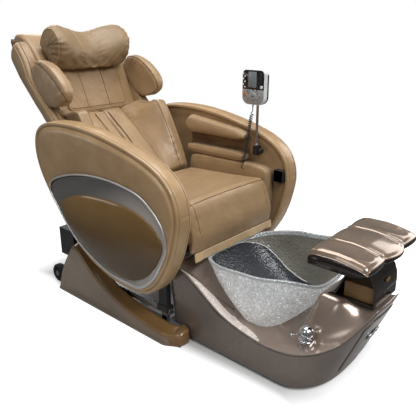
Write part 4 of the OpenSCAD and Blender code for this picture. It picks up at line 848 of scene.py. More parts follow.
@dataclass
class Arm:
    """One arm: leather band, padded side, silver ring, insert, gloss panel and armrest.

    Attributes:
        side: 1 for the sitter's left, -1 for the right.
    """

    side: int
    sizes: ArmSizes = field(default_factory=ArmSizes)

    def __post_init__(self) -> None:
        """Notes the word for the arm's side."""
        self.word = SIDES[self.side]

    def turned(self, grid: Array) -> Array:
        """The grid on this arm's side of the chair."""
        return on_side(self.side, grid)

    def made(self, part: str, grid: Array, ring: bool = False) -> bpy.types.Object:
        """One of the arm's pieces from a grid on the left."""
        return skin(f"arm_{part}_{self.word}", self.turned(grid), close_u=ring)

    def build(self) -> None:
        """Makes every piece of the arm."""
        pod = resample(spline(POD, 8, True), 420, True)
        self.band(pod)
        self.padded_side(pod)
        self.trim()
        self.inner_face(pod)
        self.armrest()

    def band(self, pod: Array) -> None:
        """The leather band: a crowned strip with two sewn seams and two cross seams."""
        s = self.sizes
        prof = spline([[15, s.inner], [9, s.inner], [5, s.inner + 0.4], [2.2, s.inner + 2.6],
                       [0.8, s.inner + 6], [0.4, s.inner + 9.5], [2.4, s.inner + 12],
                       [0.1, s.inner + 14.5], [-1.2, s.inner + 24], [-1.7, s.inner + 37],
                       [-1.2, s.outer - 24], [0.1, s.outer - 14.5], [2.4, s.outer - 12],
                       [0.4, s.outer - 9.5], [0.8, s.outer - 6], [2.2, s.outer - 2.6],
                       [5, s.outer - 0.4], [9, s.outer], [15, s.outer]], 3)
        lines = np.array([inset(pod, float(q[0])) for q in prof])
        grid = at_x(lines, prof[:, 1:]).transpose(1, 0, 2)
        run = distances(pod)
        crown = np.clip(1 - prof[:, 0] / 4, 0, 1)[None]
        h = sum(-2.2 * bump(run, run[k], 3.5) for k in CROSS_SEAMS)[:, None] * crown
        h = h + crown * (0.8 * ripple(grid, (120, 190), 11) + 0.35 * ripple(grid, (24, 31), 12))
        grid = raised(grid, h)
        turned = self.turned(grid)
        pad(self.made("band_leather", grid, True), "seat", [f"arm_band_{self.word}"],
            ARM_HIDE)
        for k, name in ((15, "inner"), (-16, "outer")):
            line = turned[:, k]
            stitches(f"arm_{name}_stitches_{self.word}", np.vstack([line, line[:1]]), "seat")
        for k, name in ((18, "inner"), (-19, "outer")):
            seam_gap(f"arm_{name}_seam_{self.word}", turned[:, k], "seat", 1.2, closed=True)

    def padded_side(self, pod: Array) -> None:
        """The padded leather side between the band and the silver ring."""
        s = self.sizes
        outer = polar(inset(pod, s.band + 0.4), POD_CENTRE, 360)
        ring = polar(spline(RING, 12, True), POD_CENTRE, 360)
        share = np.concatenate([np.zeros(3), np.linspace(0, 1, 26) ** 1.15])
        x = s.face - 9 + 9 * np.sin(np.clip(share / 0.14, 0, 1) * math.pi / 2)
        x = x + 3.2 * np.sin(np.clip((share - 0.05) / 0.95, 0, 1) * math.pi) ** 0.8
        x = x - 2.6 * smooth(0.94, 1.0, share)
        x[:3] = (s.panel + 32.4, s.outer - 20, s.outer - 6)
        flat = outer[None] + (ring - outer)[None] * share[:, None, None]
        grid = at_x(flat, x[:, None])
        swell = 0.9 * ripple(grid, (130, 210), 21) + 0.3 * ripple(grid, (28, 40), 22)
        calm = np.clip(share[3:, None] * 6, 0, 1) * (1 - smooth(0.8, 1.0, share[3:, None]))
        grid[3:, :, 0] += swell[3:] * calm
        middle = np.array([[[s.face - 4, *POD_CENTRE]]]) + (
            grid[-1:] - [[s.face, *POD_CENTRE]]) * 0.05
        pad(self.made("side_leather", np.concatenate([grid, middle])), "seat",
            [f"arm_cushion_{self.word}"], ARM_HIDE)

    def trim(self) -> None:
        """The silver ring, the grey insert and the gloss panel on the arm's side."""
        s = self.sizes
        line = spline(RING, 12, True)
        fore = (0.5 + 0.5 * np.cos(np.arctan2(line[:, 1] - FORE[1], line[:, 0] - FORE[0])
                                   - FORE_ANGLE))[:, None]
        a = angles(20)[None]
        inwards = inset(line, 1.0) - line
        half = s.ring + 3.6 * fore**2
        flat = line[:, None] + inwards[:, None] * (half * np.cos(a) + half - s.ring)[..., None]
        ring = self.made("ring", at_x(flat, s.face + 0.3 + s.ring * (1 + np.sin(a))), True)
        dress(ring, SILVER, "seat", ["arm_rings"])
        near = np.nonzero(fore[:, 0] > 0.8)[0]
        if np.any(np.diff(near) > 1):  # the run passes the outline's first point
            near = np.roll(near, -int(np.argmax(np.diff(near) > 1) + 1))
        inner = line + inwards * 21.0
        dress(tube(f"arm_ring_line_{self.word}",
                   self.turned(at_x(inner[near], s.face + 2.6)), 1.7), SILVER, "seat")
        centre = np.array(RING_CENTRE)
        outer = polar(inset(line, s.ring + 0.6), RING_CENTRE, 300)
        edge = polar(spline(GLOSS_EDGE, 12, True), RING_CENTRE, 300)
        share = np.linspace(0, 1, 12)
        flat = outer[None] + (edge - outer)[None] * share[:, None, None]
        x = s.face + 2 - 1.6 * np.sin(share * math.pi)
        x[0] = s.face + 0.3
        plate = np.concatenate([at_x(flat, x[:, None]),
                                [at_x((edge - centre) * 0.05 + centre, s.face + 1.0)]])
        dress(self.made("insert", plate), GREY, "seat", ["arm_insets"])
        q = np.cos(np.linspace(0, math.pi / 2, 30))
        rise = 0.22 * np.clip((1 - q) / 0.004, 0, 1) + 0.78 * (1 - q**2.5) ** 0.62
        flat = centre + (edge - centre)[None] * q[:, None, None]
        dome = at_x(flat, (s.face + 2.2 + s.bulge * rise)[:, None])
        foot = at_x(edge, s.face + 2.05)
        dress(self.made("gloss_panel", np.concatenate([[foot], dome])), GLOSS, "seat",
              ["arm_gloss_panels"])

    def inner_face(self, pod: Array) -> None:
        """The leather-covered board inside the band, with a moulded recess behind the armrest."""
        s = self.sizes
        centre = np.array(POD_CENTRE)
        outer = polar(inset(pod, s.band + 0.4), POD_CENTRE, 300)
        q = np.linspace(1, 0.02, 60)
        flat = centre + (outer - centre)[None] * q[:, None, None]
        dish = 5.0 * smooth(0.93, 0.82, q)
        inner = at_x(flat, (s.panel + dish)[:, None])
        inner[..., 0] += 0.6 * ripple(inner, (100, 160), 31)
        back = at_x(outer, s.panel + 32)[None]
        dress(self.made("board_leather", np.concatenate([back, inner])), LEATHER, "seat",
              [f"arm_panel_{self.word}"])

    def armrest(self) -> None:
        """The liner, the forearm pad, the roll and the folded sleeve between them."""
        s = self.sizes
        self.bolster("liner", (215, 519), (235, 99), 7, (s.liner, s.panel), 16, 41)
        self.bolster("forearm_pad", (290, 639.2), (176, 20.7), 5, (s.liner, s.panel), 10, 42)
        self.roll()
        y = np.linspace(116, 472, 150)
        z = np.linspace(655, 718, 40)
        fold = (2.2 * np.sin(z[None] / 7.5 + y[:, None] / 70 + np.sin(y / 45)[:, None])
                + 0.9 * np.sin(y / 23)[:, None])
        front = grid_of(s.inner + 4.0 + 0.9 * fold, y[:, None], z[None])
        rear = front.copy()
        rear[..., 0] = s.inner + 7.8
        dress(self.made("sleeve", np.concatenate([front, rear[:, ::-1]], axis=1)), SLEEVE, "seat")

    def bolster(self, part: str, centre: Sequence[float], half: Sequence[float], power: float,
                x: Sequence[float], edge: float, seed: int) -> None:
        """A flat pad with rounded edges and piping: superellipse rings over a quarter round."""
        a = angles(260)
        uy, uz = squared(np.cos(a), 2 / power), squared(np.sin(a), 2 / power)
        th = np.linspace(0, math.pi / 2, 12)
        rings = [(x[1] - 0.3, 0.0), (x[0] + edge + 6, 0.0)]
        rings += [(x[0] + edge * (1 - math.sin(t)), edge * (1 - math.cos(t))) for t in th]
        depth = min(half[1] - edge, 26) * np.linspace(0, 1, 9)[1:]
        rings += [(x[0] - 2.2 * math.sin(k / 8 * math.pi / 2), edge + dd)
                  for k, dd in enumerate(depth, 1)]
        grid = np.array([grid_of(xx, centre[0] + (half[0] - dd) * uy,
                                 centre[1] + (half[1] - dd) * uz) for xx, dd in rings])
        h = 0.6 * ripple(grid, (60, 110), seed) + 0.35 * ripple(grid, (18, 26), seed + 5)
        grid[2:, :, 0] -= h[2:]
        node = {"liner": "arm_liners", "forearm_pad": "forearm_pads"}[part]
        pad(self.made(f"{part}_leather", grid), "seat", [node])
        path = self.turned(grid[1] - (2.0, 0, 0))
        piping(f"arm_{part}_piping_{self.word}", path, "seat", 2.2, closed=True)

    def roll(self) -> None:
        """The upper roll: a rounded bar, gathered along lengthwise rows of stitching."""
        s = self.sizes
        t = np.linspace(0, 1, 170)
        y = 114 + 360 * t
        near = np.clip((0.16 - t) / 0.16, 0, 1) ** 2 + np.clip((t - 0.93) / 0.07, 0, 1) ** 2
        close = np.sqrt(np.clip(1 - 0.8 * near, 0.05, 1))
        low, high = 715.5, 756 + 44 * t
        m, h = (low + high) / 2, (high - low) / 2
        sect = spline([[50, -1], [18, -1], [5, -0.78], [0, -0.3], [1.5, 0.3], [6, 0.68],
                       [13, 0.86], [24, 0.96], [36, 1.0], [50, 0.98]], 8)
        u = np.linspace(0, 1, len(sect))
        z = m[:, None] + h[:, None] * sect[None, :, 1] * close[:, None]
        x = s.liner + sect[None, :, 0] + 4 * (1 - close[:, None])
        grid = grid_of(np.minimum(x, s.panel), y[:, None], z)
        rows = sum(bump(u, c, 0.016) for c in (0.50, 0.58, 0.66, 0.74, 0.82))[None]
        pucker = np.sin(y / 3.4 + 1.5 * np.sin(y / 21))[:, None]
        lift = -1.2 * rows + 0.35 * pucker * (1 - rows) * smooth(0.42, 0.5, u)[None]
        lift = lift * np.clip((s.panel - 4 - grid[..., 0]) / 4, 0, 1)
        pad(self.made("roll_leather", raised(grid, lift)), "seat", ["forearm_rolls"])


# ------------------------------------------------------------------ backrest


def dense(rings: Any, along: int, around: int) -> Array:
    """A stack of rings made fine: smooth curves along the stack and round each ring."""
    grid = spline(np.asarray(rings, float), along)
    return spline(grid.transpose(1, 0, 2), around, closed=True).transpose(1, 0, 2)


@dataclass(frozen=True)
class BackSizes:
    """Sizes of the backrest, upright: y to the rear and z up, in millimetres."""

    half: float = 236.0
    length: float = 918.0
    rear: float = 59.7
    wing: float = 61.0
    wing_front: float = 12.0
    flap: float = 170.0
    pillow: float = 210.0
    pillow_z: float = 708.0


PILLOW_SEAMS = {"right": -70.0, "left": 40.0}  # mm across the chair
FLAP_SEAM, FLAP_STITCHES = 62.0, 66.0  # mm from the middle
PAD_FRONT = [[450, 51.5], [470, 44], [540, 14], [600, -12], [643, -28], [700, -38],
             [800, -42], [860, -30], [900, -10], [918, 14]]


@dataclass
class Backrest:
    """Lumbar pads, straps, upper pad, flap, head pillow, wings and shoulder pads."""

    sizes: BackSizes = field(default_factory=BackSizes)

    def build(self) -> None:
        """Makes every padded piece of the backrest."""
        for side in (1, -1):
            self.lumbar(side)
            self.strap(side)
            self.wing(side)
            self.shoulder(side)
        self.upper()
        self.flap()
        self.pillow()

    @staticmethod
    def hide(part: str, side: int, grid: Array, node: str, fill: float) -> Array:
        """Makes a leather piece on one side of the backrest, and returns its leant grid."""
        leant = on_side(side, lean_back(grid))
        pad(skin(f"{part}_leather_{SIDES[side]}", leant), "backrest", [node])
        return leant

    def lumbar(self, side: int) -> None:
        """A lumbar pad: a flat centre whose outer part rises into a side wing."""
        s = self.sizes
        b, inner = s.rear, s.half - 0.3
        stations = [[20, 50, 34, 10], [24, 30, 8, 3], [40, 16, -8, 0], [100, 8, -34, 0],
                    [170, 10, -60, 0], [250, 16, -86, 0], [320, 24, -104, 0],
                    [346, 28, -106, 0], [366, 30, -90, 0], [392, 34, -50, 0], [424, 40, -14, 2],
                    [444, 46, 0, 6], [448, 54, 6, 10]]
        rings = []
        for z, c, w, r in stations:
            edge = min(w + 18, b - 2) if z < 90 else min(w + 18, s.wing_front - 7)
            rings.append([[6, b, z], [6 + r, c + 4, z], [16, c, z], [60, c - 3, z],
                          [104, c - 3, z], [122, c + 6, z], [140, c - 2 + (w - c) * 0.12, z],
                          [176, c + (w - c) * 0.55, z], [206, w + 4, z], [226, w, z],
                          [246, w + 4, z], [258 - r, edge, z],
                          [inner, edge + 1 if z < 90 else s.wing_front - 4.5, z], [inner, b, z]])
        grid = dense(rings, 9, 7)
        v = np.arange(grid.shape[1]) / 7.0
        z = grid[..., 2]
        front = np.clip(grid[..., 1].max() - grid[..., 1] - 2, 0, 6) / 6
        seam = -2.2 * bump(v, 5.0, 0.16)[None] - 1.8 * bump(v, 8.05, 0.13)[None]
        seam = seam + 0.8 * bump(v, 5.0, 0.8)[None] * np.sin(z / 4.3 + 2 * np.sin(z / 26))
        seam = seam + 0.7 * bump(v, 8.05, 0.6)[None] * np.sin(z / 5.1 + 1.5 * np.sin(z / 33))
        fold = 2.0 * bump(z, 368, 9) * np.sin(grid[..., 0] / 6.5) * smooth(3, 7, v)[None]
        h = (seam + fold + 1.6 * ripple(grid, (80, 130), 61 + side)
             + 0.5 * ripple(grid, (24, 34), 63)) * front
        leant = self.hide("lumbar", side, raised(grid, h), "lumbar_pads", 0.85)
        for col, name in ((35, "inner"), (56, "outer")):
            seam_gap(f"lumbar_{name}_seam_{SIDES[side]}", leant[10:-12, col], "backrest", 1.4)
        stitches(f"lumbar_stitches_{SIDES[side]}", leant[14:-16, 59], "backrest")
        piping(f"lumbar_piping_{SIDES[side]}", leant[4:-8, 74], "backrest", 2.8)

    def strap(self, side: int) -> None:
        """A padded strap down the middle of the lumbar pad."""
        line = spline([[11, 48], [4, 100], [6, 170], [12, 250], [20, 320], [25, 350], [30, 392],
                       [36, 424]], 12)
        a = angles(40)
        sx = squared(np.cos(a), 0.35) * 17
        sy = squared(np.sin(a), 0.6) * 3.2
        grid = grid_of(39 + sx[None], line[:, :1] - 3.4 + sy[None], line[:, 1:])
        groove = 0.9 * bump(np.abs(sx), 13.2, 1.3)[None] * (sy < 0)[None]
        grid[..., 1] += 0.5 * ripple(grid, (30, 50), 70) - groove
        self.hide("strap", side, grid, "back_straps", 0.7)

    def wing(self, side: int) -> None:
        """The padded strip beside the back, piped along its outer edge."""
        s = self.sizes
        stations = [[150, 70, 26, 10], [158, 76, 22, 4], [190, 80, 14, 0],
                    [400, 80, s.wing_front, 0], [520, 80, s.wing_front - 1, 0],
                    [640, 80, s.wing_front - 2, 0], [720, 74, -22, 0], [800, 62, -30, 2],
                    [826, 52, -24, 8], [834, 44, -16, 14]]
        x0 = s.half + 0.3
        rings = []
        for z, rear, front, r in stations:
            x1 = x0 + s.wing - r
            rings.append([[x0, rear, z], [x0, front, z], [x0 + 14, front - 5, z],
                          [x1 - 16, front - 3, z], [x1 - 3, front + 8, z],
                          [x1, (rear + front) / 2, z], [x1 - 6, rear - 4, z], [x1 - 20, rear, z]])
        grid = dense(rings, 9, 8)
        h = 0.9 * ripple(grid, (70, 120), 81) + 0.4 * ripple(grid, (22, 30), 82)
        leant = self.hide("wing", side, raised(grid, h), "back_wings", 0.85)
        piping(f"wing_piping_{SIDES[side]}", leant[3:-3, 34], "backrest", 2.6)
        stitches(f"wing_stitches_{SIDES[side]}", leant[4:-4, 19], "backrest")
        seam_gap(f"wing_seam_{SIDES[side]}", leant[4:-4, 22], "backrest", 1.5)

    def shoulder(self, side: int) -> None:
        """A shoulder bolster that stands forward of the wing."""
        s = self.sizes
        stations = [[412, -96, -120, 16], [418, -80, -134, 8], [434, -44, -147, 3],
                    [464, -12, -154, 0], [510, 3, -153, 0], [560, 5, -146, 0],
                    [604, 3, -131, 1], [638, -6, -110, 4], [662, -22, -84, 10],
                    [672, -36, -64, 18]]
        x0 = s.half + 0.3
        x1 = x0 + s.wing
        rings = []
        for z, rear, front, r in stations:
            m = (rear + front) / 2
            rings.append([[x0 + r, rear, z], [x0 + r, m, z], [x0 + r + 4, front + 10, z],
                          [x0 + 18, front, z], [x1 - 18, front, z], [x1 - r - 4, front + 12, z],
                          [x1 - r, m, z], [x1 - r - 4, rear - 4, z], [x1 - 18, rear, z]])
        grid = round_ends(dense(rings, 10, 10))
        v = np.arange(grid.shape[1]) / 10.0
        seam = -2.4 * bump(v, 5.25, 0.14)[None] - 2.4 * bump(v, 2.1, 0.14)[None]
        pucker = 0.7 * (bump(v, 5.25, 0.7) + bump(v, 2.1, 0.7))[None] * np.sin(
            grid[..., 2] / 4.4 + 2 * np.sin(grid[..., 2] / 30))
        h = seam + pucker + 1.4 * ripple(grid, (80, 120), 91 + side) + 0.4 * ripple(
            grid, (20, 30), 92)
        leant = self.hide("shoulder", side, raised(grid, h), "shoulder_pads", 0.9)
        stitches(f"shoulder_stitches_{SIDES[side]}", leant[8:-8, 50], "backrest")
        for col, name in ((21, "inner"), (53, "outer")):
            seam_gap(f"shoulder_{name}_seam_{SIDES[side]}", leant[8:-8, col], "backrest", 1.4)

    def upper(self) -> None:
        """The pad behind the flap and the pillow, rolled over the top of the shell."""
        s = self.sizes
        half = s.half - 1
        x = half * np.sin(np.linspace(-1, 1, 91) * math.pi / 2)
        e = np.clip((np.abs(x) - (half - 22)) / 22, 0, 1)
        d = 16 * (1 - np.sqrt(1 - e**2))
        front = spline(PAD_FRONT, 8)[::-1]
        n, z = front[:, 1], front[:, 0]
        rows = []
        for xx, dd in zip(x, d):
            f = grid_of(xx, np.minimum(s.rear - 12, n + dd),
                        z - dd * smooth(880, 918, z) + dd * (1 - smooth(450, 480, z)))
            rear = [[xx, s.rear, 452 + dd], [xx, s.rear, 640], [xx, s.rear, s.length - 78],
                    [xx, s.rear - 16, s.length - 4 - dd]]
            rows.append(np.vstack([rear, f]))
        grid = np.array(rows)
        h = (1.2 * ripple(grid, (90, 150), 101) + 0.4 * ripple(grid, (26, 38), 102))
        h[:, :4] = 0
        pad(skin("upper_back_leather", lean_back(raised(grid, h))), "backrest",
            ["upper_back_pad"])

    def flap(self) -> None:
        """The padded flap that hangs from behind the pillow, sewn in three panels."""
        s = self.sizes
        low, corner = 457.5, 30.0
        z = np.linspace(low, 796, 96)
        front = averaged(np.interp(z, *np.transpose(PAD_FRONT)), 6)
        k = np.clip(corner - (z - low), 0, corner)
        half = s.flap - corner + np.sqrt(corner**2 - k**2)
        u = np.linspace(-1, 1, 121)
        x = half[:, None] * np.sin(u * math.pi / 2 * 0.98)[None] / math.sin(math.pi / 2 * 0.98)
        side = np.clip(1 - np.abs(u) ** 10, 0, 1)[None] ** 0.5
        foot = np.sqrt(np.clip((z - low) / 12, 0, 1))[:, None]
        thick = 11.2 * side * np.clip(foot, 0.2, 1)
        rear = front[:, None] - 0.6 + 0 * x
        grid_f = grid_of(x, rear - thick, z[:, None])
        grid_r = grid_of(x, rear, z[:, None])
        seam = -2.6 * (bump(np.abs(x), FLAP_SEAM, 2.6)) - 1.6 * bump(z[:, None], 470, 2.4) * side
        puck = 0.9 * bump(np.abs(x), FLAP_SEAM, 13) * np.sin(
            z[:, None] / 5.0 + np.sin(z[:, None] / 19))
        wave = 1.6 * ripple(grid_f, (70, 120), 111) + 0.5 * ripple(grid_f, (22, 32), 112)
        sag = 2.4 * np.sin(x / 24 + 1.0) * bump(z[:, None], 640, 30) * side
        grid_f[..., 1] -= (seam + puck + wave + sag) * side
        grid_f[..., 1] = np.minimum(grid_f[..., 1], grid_r[..., 1] - 1.5)
        grid = np.concatenate([grid_f, grid_r[:, ::-1]], axis=1)
        pad(skin("back_flap_leather", lean_back(grid)), "backrest", ["back_flap"])
        out = (0, -0.5, 0)
        edge = np.concatenate([grid_f[::-1, 2], grid_f[0, 3:-3], grid_f[:, -3]]) + out
        piping("back_flap_piping", lean_back(resample(edge, 260)), "backrest", 2.6,
               up=(0, 1, 0.2))
        for side in (-1, 1):
            line = grid_f[4:-2, nearest(x[40], side * FLAP_STITCHES)] + out
            stitches(f"back_flap_stitches_{SIDES[side]}", lean_back(line), "backrest")
            line = grid_f[3:-2, nearest(x[40], side * FLAP_SEAM)] + (0, 0.4, 0)
            seam_gap(f"back_flap_seam_{SIDES[side]}", lean_back(line), "backrest", 1.5)
        hem = np.concatenate([grid_f[40:6:-1, 6], grid_f[3, 10:-10], grid_f[6:40, -7]])
        seam_gap("back_flap_hem", lean_back(resample(hem, 200)), "backrest", 1.1, (0, 1, 0.2))

    def pillow(self) -> None:
        """The head pillow: three panels, dipped in the middle and creased underneath."""
        s = self.sizes
        h = s.pillow
        stations = [[-h, 40, -168, 34], [6 - h, 66, -190, 14], [20 - h, 84, -198, 4],
                    [52 - h, 94, -196, 0], [-100, 98, -176, 0], [-45, 99, -154, 0],
                    [0, 100, -146, 0], [45, 99, -154, 0], [100, 98, -176, 0],
                    [h - 52, 94, -196, 0], [h - 20, 84, -198, 4], [h - 6, 66, -190, 14],
                    [h, 40, -168, 34]]
        rings = []
        for x, ln, f, r in stations:
            c, b = s.pillow_z, -54.6 - r
            rings.append([[x, b, c - ln + 24], [x, b, c], [x, b, c + ln - 24],
                          [x, b - 14, c + ln - 6], [x, (b + f) / 2, c + ln],
                          [x, f + 34, c + ln - 8], [x, f + 8, c + ln - 34], [x, f, c + 14],
                          [x, f + 4, c - ln * 0.4], [x, f + 26, c - ln + 26],
                          [x, f + 60, c - ln + 8], [x, b - 22, c - ln + 4]])
        grid = round_ends(dense(rings, 9, 10))
        v = (np.arange(grid.shape[1]) / 10.0)[None]
        x = grid[..., 0]
        front = smooth(3.6, 4.4, v) * (1 - smooth(9.6, 10.6, v))
        seam = -3.2 * sum(bump(x, at, 4.5) for at in PILLOW_SEAMS.values()) * front
        near = sum(bump(x, at, 22) for at in PILLOW_SEAMS.values())
        puck = 0.7 * near * front * np.sin(v * 12 + x / 30)
        under = smooth(8.9, 9.8, v) * (1 - smooth(11.2, 11.9, v))
        crease = 2.2 * under * np.sin(x / 9.5 + 1.6 * np.sin(v * 3 + x / 50))
        ends = smooth(150, 196, np.abs(x)) * smooth(4.5, 6.0, v) * (1 - smooth(10.5, 11.5, v))
        gather = 1.4 * ends * np.sin(v * 9 + x / 18)
        sag = 1.8 * bump(x, -120, 34) * np.sin(v * 2.6 + x / 26) * front
        calm = 1.3 * ripple(grid, (90, 150), 121) + 0.3 * ripple(grid, (28, 40), 122)
        hgt = (seam + puck + crease + gather + sag + calm) * smooth(2.0, 3.0, v) * (
            1 - smooth(11.4, 12.0, v))
        done = raised(grid, hgt)
        pad(skin("pillow_leather", lean_back(done)), "backrest", ["head_pillow"],
            PILLOW_HIDE)
        middle = np.nanmean(x, axis=1)
        for name, at in PILLOW_SEAMS.items():
            line = done[nearest(middle, at), 36:104]
            piping(f"pillow_{name}_seam", lean_back(line), "backrest", 1.5)
        for side in (-1, 1):
            line = done[nearest(middle, side * (h - 9)), 24:112]
            piping(f"pillow_end_piping_{SIDES[side]}", lean_back(line), "backrest", 2.6)


# ------------------------------------------------------------------ foot tub

LIP = spline([[-770, 345], [-734, 338], [-721, 316], [-686, 262], [-640, 212], [-554, 174],
              [-440, 152], [-325, 162], [-204, 200], [-107, 268], [-16, 326], [70, 332]], 4)


@dataclass(frozen=True)
class TubSizes:
    """Sizes of the foot tub, in millimetres."""

    width: float = 574.0
    floor_width: float = 500.0
    wall: float = 5.0
    foot: float = 12.0
    rear: float = 42.0
    deck: float = 150.0
    drop: float = 8.0
    bowl_c: float = -290.5
    bowl_a: float = 218.0
    bowl_b: float = 228.0
    bowl_back: float = 42.0
    bowl_wall: float = 7.0
    rim: float = 385.0
    plateau: float = 334.0
    mixer: tuple[float, float] = (-188.0, -528.0)
    mixer_top: float = 196.0


@dataclass
class FootTub:
    """The tub with its deck, access panel, badge, glass bowl and mixer tap."""

    sizes: TubSizes = field(default_factory=TubSizes)

    def __post_init__(self) -> None:
        """Lays the stations round the plan: left side, rear, right side and nose."""
        self.kind = np.repeat((LEFT, REAR, RIGHT, NOSE), (40, 14, 40, 110))
        along = np.linspace(0, 1, 40)
        self.t = np.concatenate([along, np.linspace(0, 1, 16)[1:-1], along,
                                 np.linspace(0, 1, 112)[1:-1]])

    def plan(self, z: Array, d: Any, kind: Any = None, t: Any = None) -> tuple[Array, Array]:
        """Plan of the tub at the heights z, drawn in by d.

        The width and the nose grow linearly with the height; the nose is a superellipse.

        Args:
            z: height at each station.
            d: distance inwards.
            kind: part of the outline, from LEFT to NOSE.
            t: place along that part, 0 to 1.

        Returns:
            x and y at each station.
        """
        s = self.sizes
        kind = self.kind if kind is None else kind
        t = self.t if t is None else t
        u = z / 345.0
        a = (s.floor_width + (s.width - s.floor_width) * u) / 2 - d
        c = -440 - 60 * u
        b = 160 + 78 * u - d
        e = 2 / (2.6 - 0.2 * u)
        r = s.rear - d
        ang = math.pi + math.pi * t
        co, si = np.cos(ang), np.abs(np.sin(ang))
        part = [kind == LEFT, kind == REAR, kind == RIGHT]
        x = np.select(part, [a, a - 2 * a * t, -a], a * squared(co, e))
        y = np.select(part, [c + (r - c) * t, r + 0 * t, r + (c - r) * t], c - b * si**e)
        return x, y

    def lip(self, kind: Any = None, t: Any = None) -> Array:
        """Height of the tub's edge at each station, found by halving."""
        kind = self.kind if kind is None else kind
        t = self.t if t is None else t
        low, high = np.full(kind.shape, 100.0), np.full(kind.shape, 360.0)
        for _ in range(16):
            mid = (low + high) / 2
            _, y = self.plan(mid, 0.0, kind, t)
            under = mid < np.interp(y, LIP[:, 0], LIP[:, 1])
            low, high = np.where(under, mid, low), np.where(under, high, mid)
        return (low + high) / 2

    def ring(self, u: float, d: float, low: float, drop: float = 0.0) -> Array:
        """Ring of the tub at the share u of its height."""
        z = low + (self.lip() - drop - low) * u
        return grid_of(*self.plan(z, d), z)

    def build(self) -> None:
        """Makes every piece of the tub."""
        self.shell()
        self.deck()
        self.panel()
        self.badge()
        self.bowl()
        self.mixer()

    def shell(self) -> None:
        """The hull: a tapered wall with a rounded lip and a groove below it."""
        s = self.sizes
        rows = [self.ring(0.0, 14.0, s.foot), self.ring(0.0, 6.0, s.foot),
                self.ring(0.0, 1.5, s.foot), self.ring(0.012, 0.0, s.foot)]
        rows += [self.ring(u, 0.0, s.foot) for u in np.linspace(0.03, 0.96, 34)]
        for drop, d in ((9.0, 0.0), (8.2, 1.6), (6.2, 1.6), (5.4, 0.0), (2.2, 0.0), (0.7, 0.8),
                        (0.0, 2.2), (0.0, s.wall - 2.0), (0.8, s.wall - 0.6), (2.4, s.wall)):
            rows.append(self.ring(1.0, d, s.foot, drop))
        rows += [self.ring(u, s.wall, s.foot + s.wall) for u in (0.9, 0.6, 0.3, 0.0)]
        dress(skin("tub_hull", np.array(rows)), HULL, "base", ["tub_shell"])

    def deck_point(self, u: float, out: float = 0.0) -> Array:
        """Ring of the deck between its edge and the bowl's foot, with the tower's plateau."""
        s = self.sizes
        z0 = self.lip() - s.drop
        px, py = self.plan(z0, s.wall + 0.6)
        t = np.arctan2((py - s.bowl_c) / 260, px / 260)
        qx = 194 * squared(np.cos(t), 0.8)
        qy = s.bowl_c + 130 * squared(np.sin(t), 0.8)
        x, y = px + (qx - px) * u, py + (qy - py) * u
        z = z0 + (s.deck - z0) * (0.35 * u + 0.65 * float(smooth(0, 1, u)))
        hill = (1 - smooth(96, 190, np.abs(x))) * smooth(452, 530, -y) * (
            1 - smooth(716, 740, -y))
        hill = hill * float(smooth(0.0, 0.34, u))
        return grid_of(x, y, z + (s.plateau - z) * hill - out)

    def deck(self) -> None:
        """The deck: falls from the tub's edge to the bowl and rises to the plateau."""
        steps = np.linspace(0, 1, 56)
        rows = [self.deck_point(1.0, 4.0), self.deck_point(0.0, 4.0)]
        rows += [self.deck_point(float(u)) for u in steps]
        piece = dress(skin("tub_deck_moulding", np.array(rows)), BRONZE, "base", ["tub_deck"])
        # Faces beside the bowl on the tub's right side, tapered at both ends, take GLINT: a painted
        # reflection of the glass with painted glints.
        grid = np.array(rows)[:-1]
        rank = np.arange(len(grid))[:, None]
        far = np.clip(1 - ((grid[3, :, 1] + 120) / 250) ** 2, 0, 1) ** 0.5
        beside = (self.kind == RIGHT) & (rank > 4) & (rank < 4 + 46 * far)
        parted(piece, [GLINT], beside.astype(np.int32))

    def panel(self) -> None:
        """The access panel on the nose, with a soft edge."""
        s = self.sizes
        start, end = 0.4, 0.6  # shares of the nose's outline
        t = np.linspace(start, end, 60)
        us = np.linspace(1 / 7, 6 / 7, 60)
        kind = np.full(60, NOSE)
        lip = self.lip(kind, t)
        rows = []
        for k, u in enumerate(us):
            z = s.foot + (lip - s.foot) * u
            near = np.minimum(np.minimum(t - start, end - t) * 900, min(k, 59 - k) * 4.2)
            out = 1.6 + 2.0 * np.sqrt(np.clip(near / 5, 0, 1))
            rows.append(np.concatenate([grid_of(*self.plan(z, -out, kind, t), z),
                                        grid_of(*self.plan(z, -0.6, kind, t), z)[::-1]]))
        dress(skin("tub_access_panel", np.array(rows)), HULL, "base", ["access_panel"])

    def badge(self) -> None:
        """The blank oval badge: a dark plate in a bright rim, leant with the nose."""
        lean = math.atan(138 / 345)
        middle = 190.0
        _, y = self.plan(np.array(middle), -4.4, np.array(NOSE), np.array(0.5))
        a = angles(96)

        def oval(r: float, out: float) -> Array:
            px, py = 2 * r * np.cos(a), r * np.sin(a)
            return grid_of(px, float(y) - py * math.sin(lean) - out * math.cos(lean),
                           middle + py * math.cos(lean) - out * math.sin(lean))

        plate = [oval(19.9, 0.2), oval(19.9, 2.2), oval(19.2, 2.6), oval(14, 2.9), oval(4, 3.0)]
        dress(skin("badge_plate", np.array(plate)), BEZEL, "base", ["badge"])
        rim = [oval(22, 0.2), oval(22, 3.0), oval(21.4, 3.8), oval(20.8, 4.0), oval(20.2, 3.8),
               oval(19.7, 3.0), oval(19.7, 0.2)]
        dress(skin("badge_rim", np.array(rim), close_u=True), CHROME, "base")

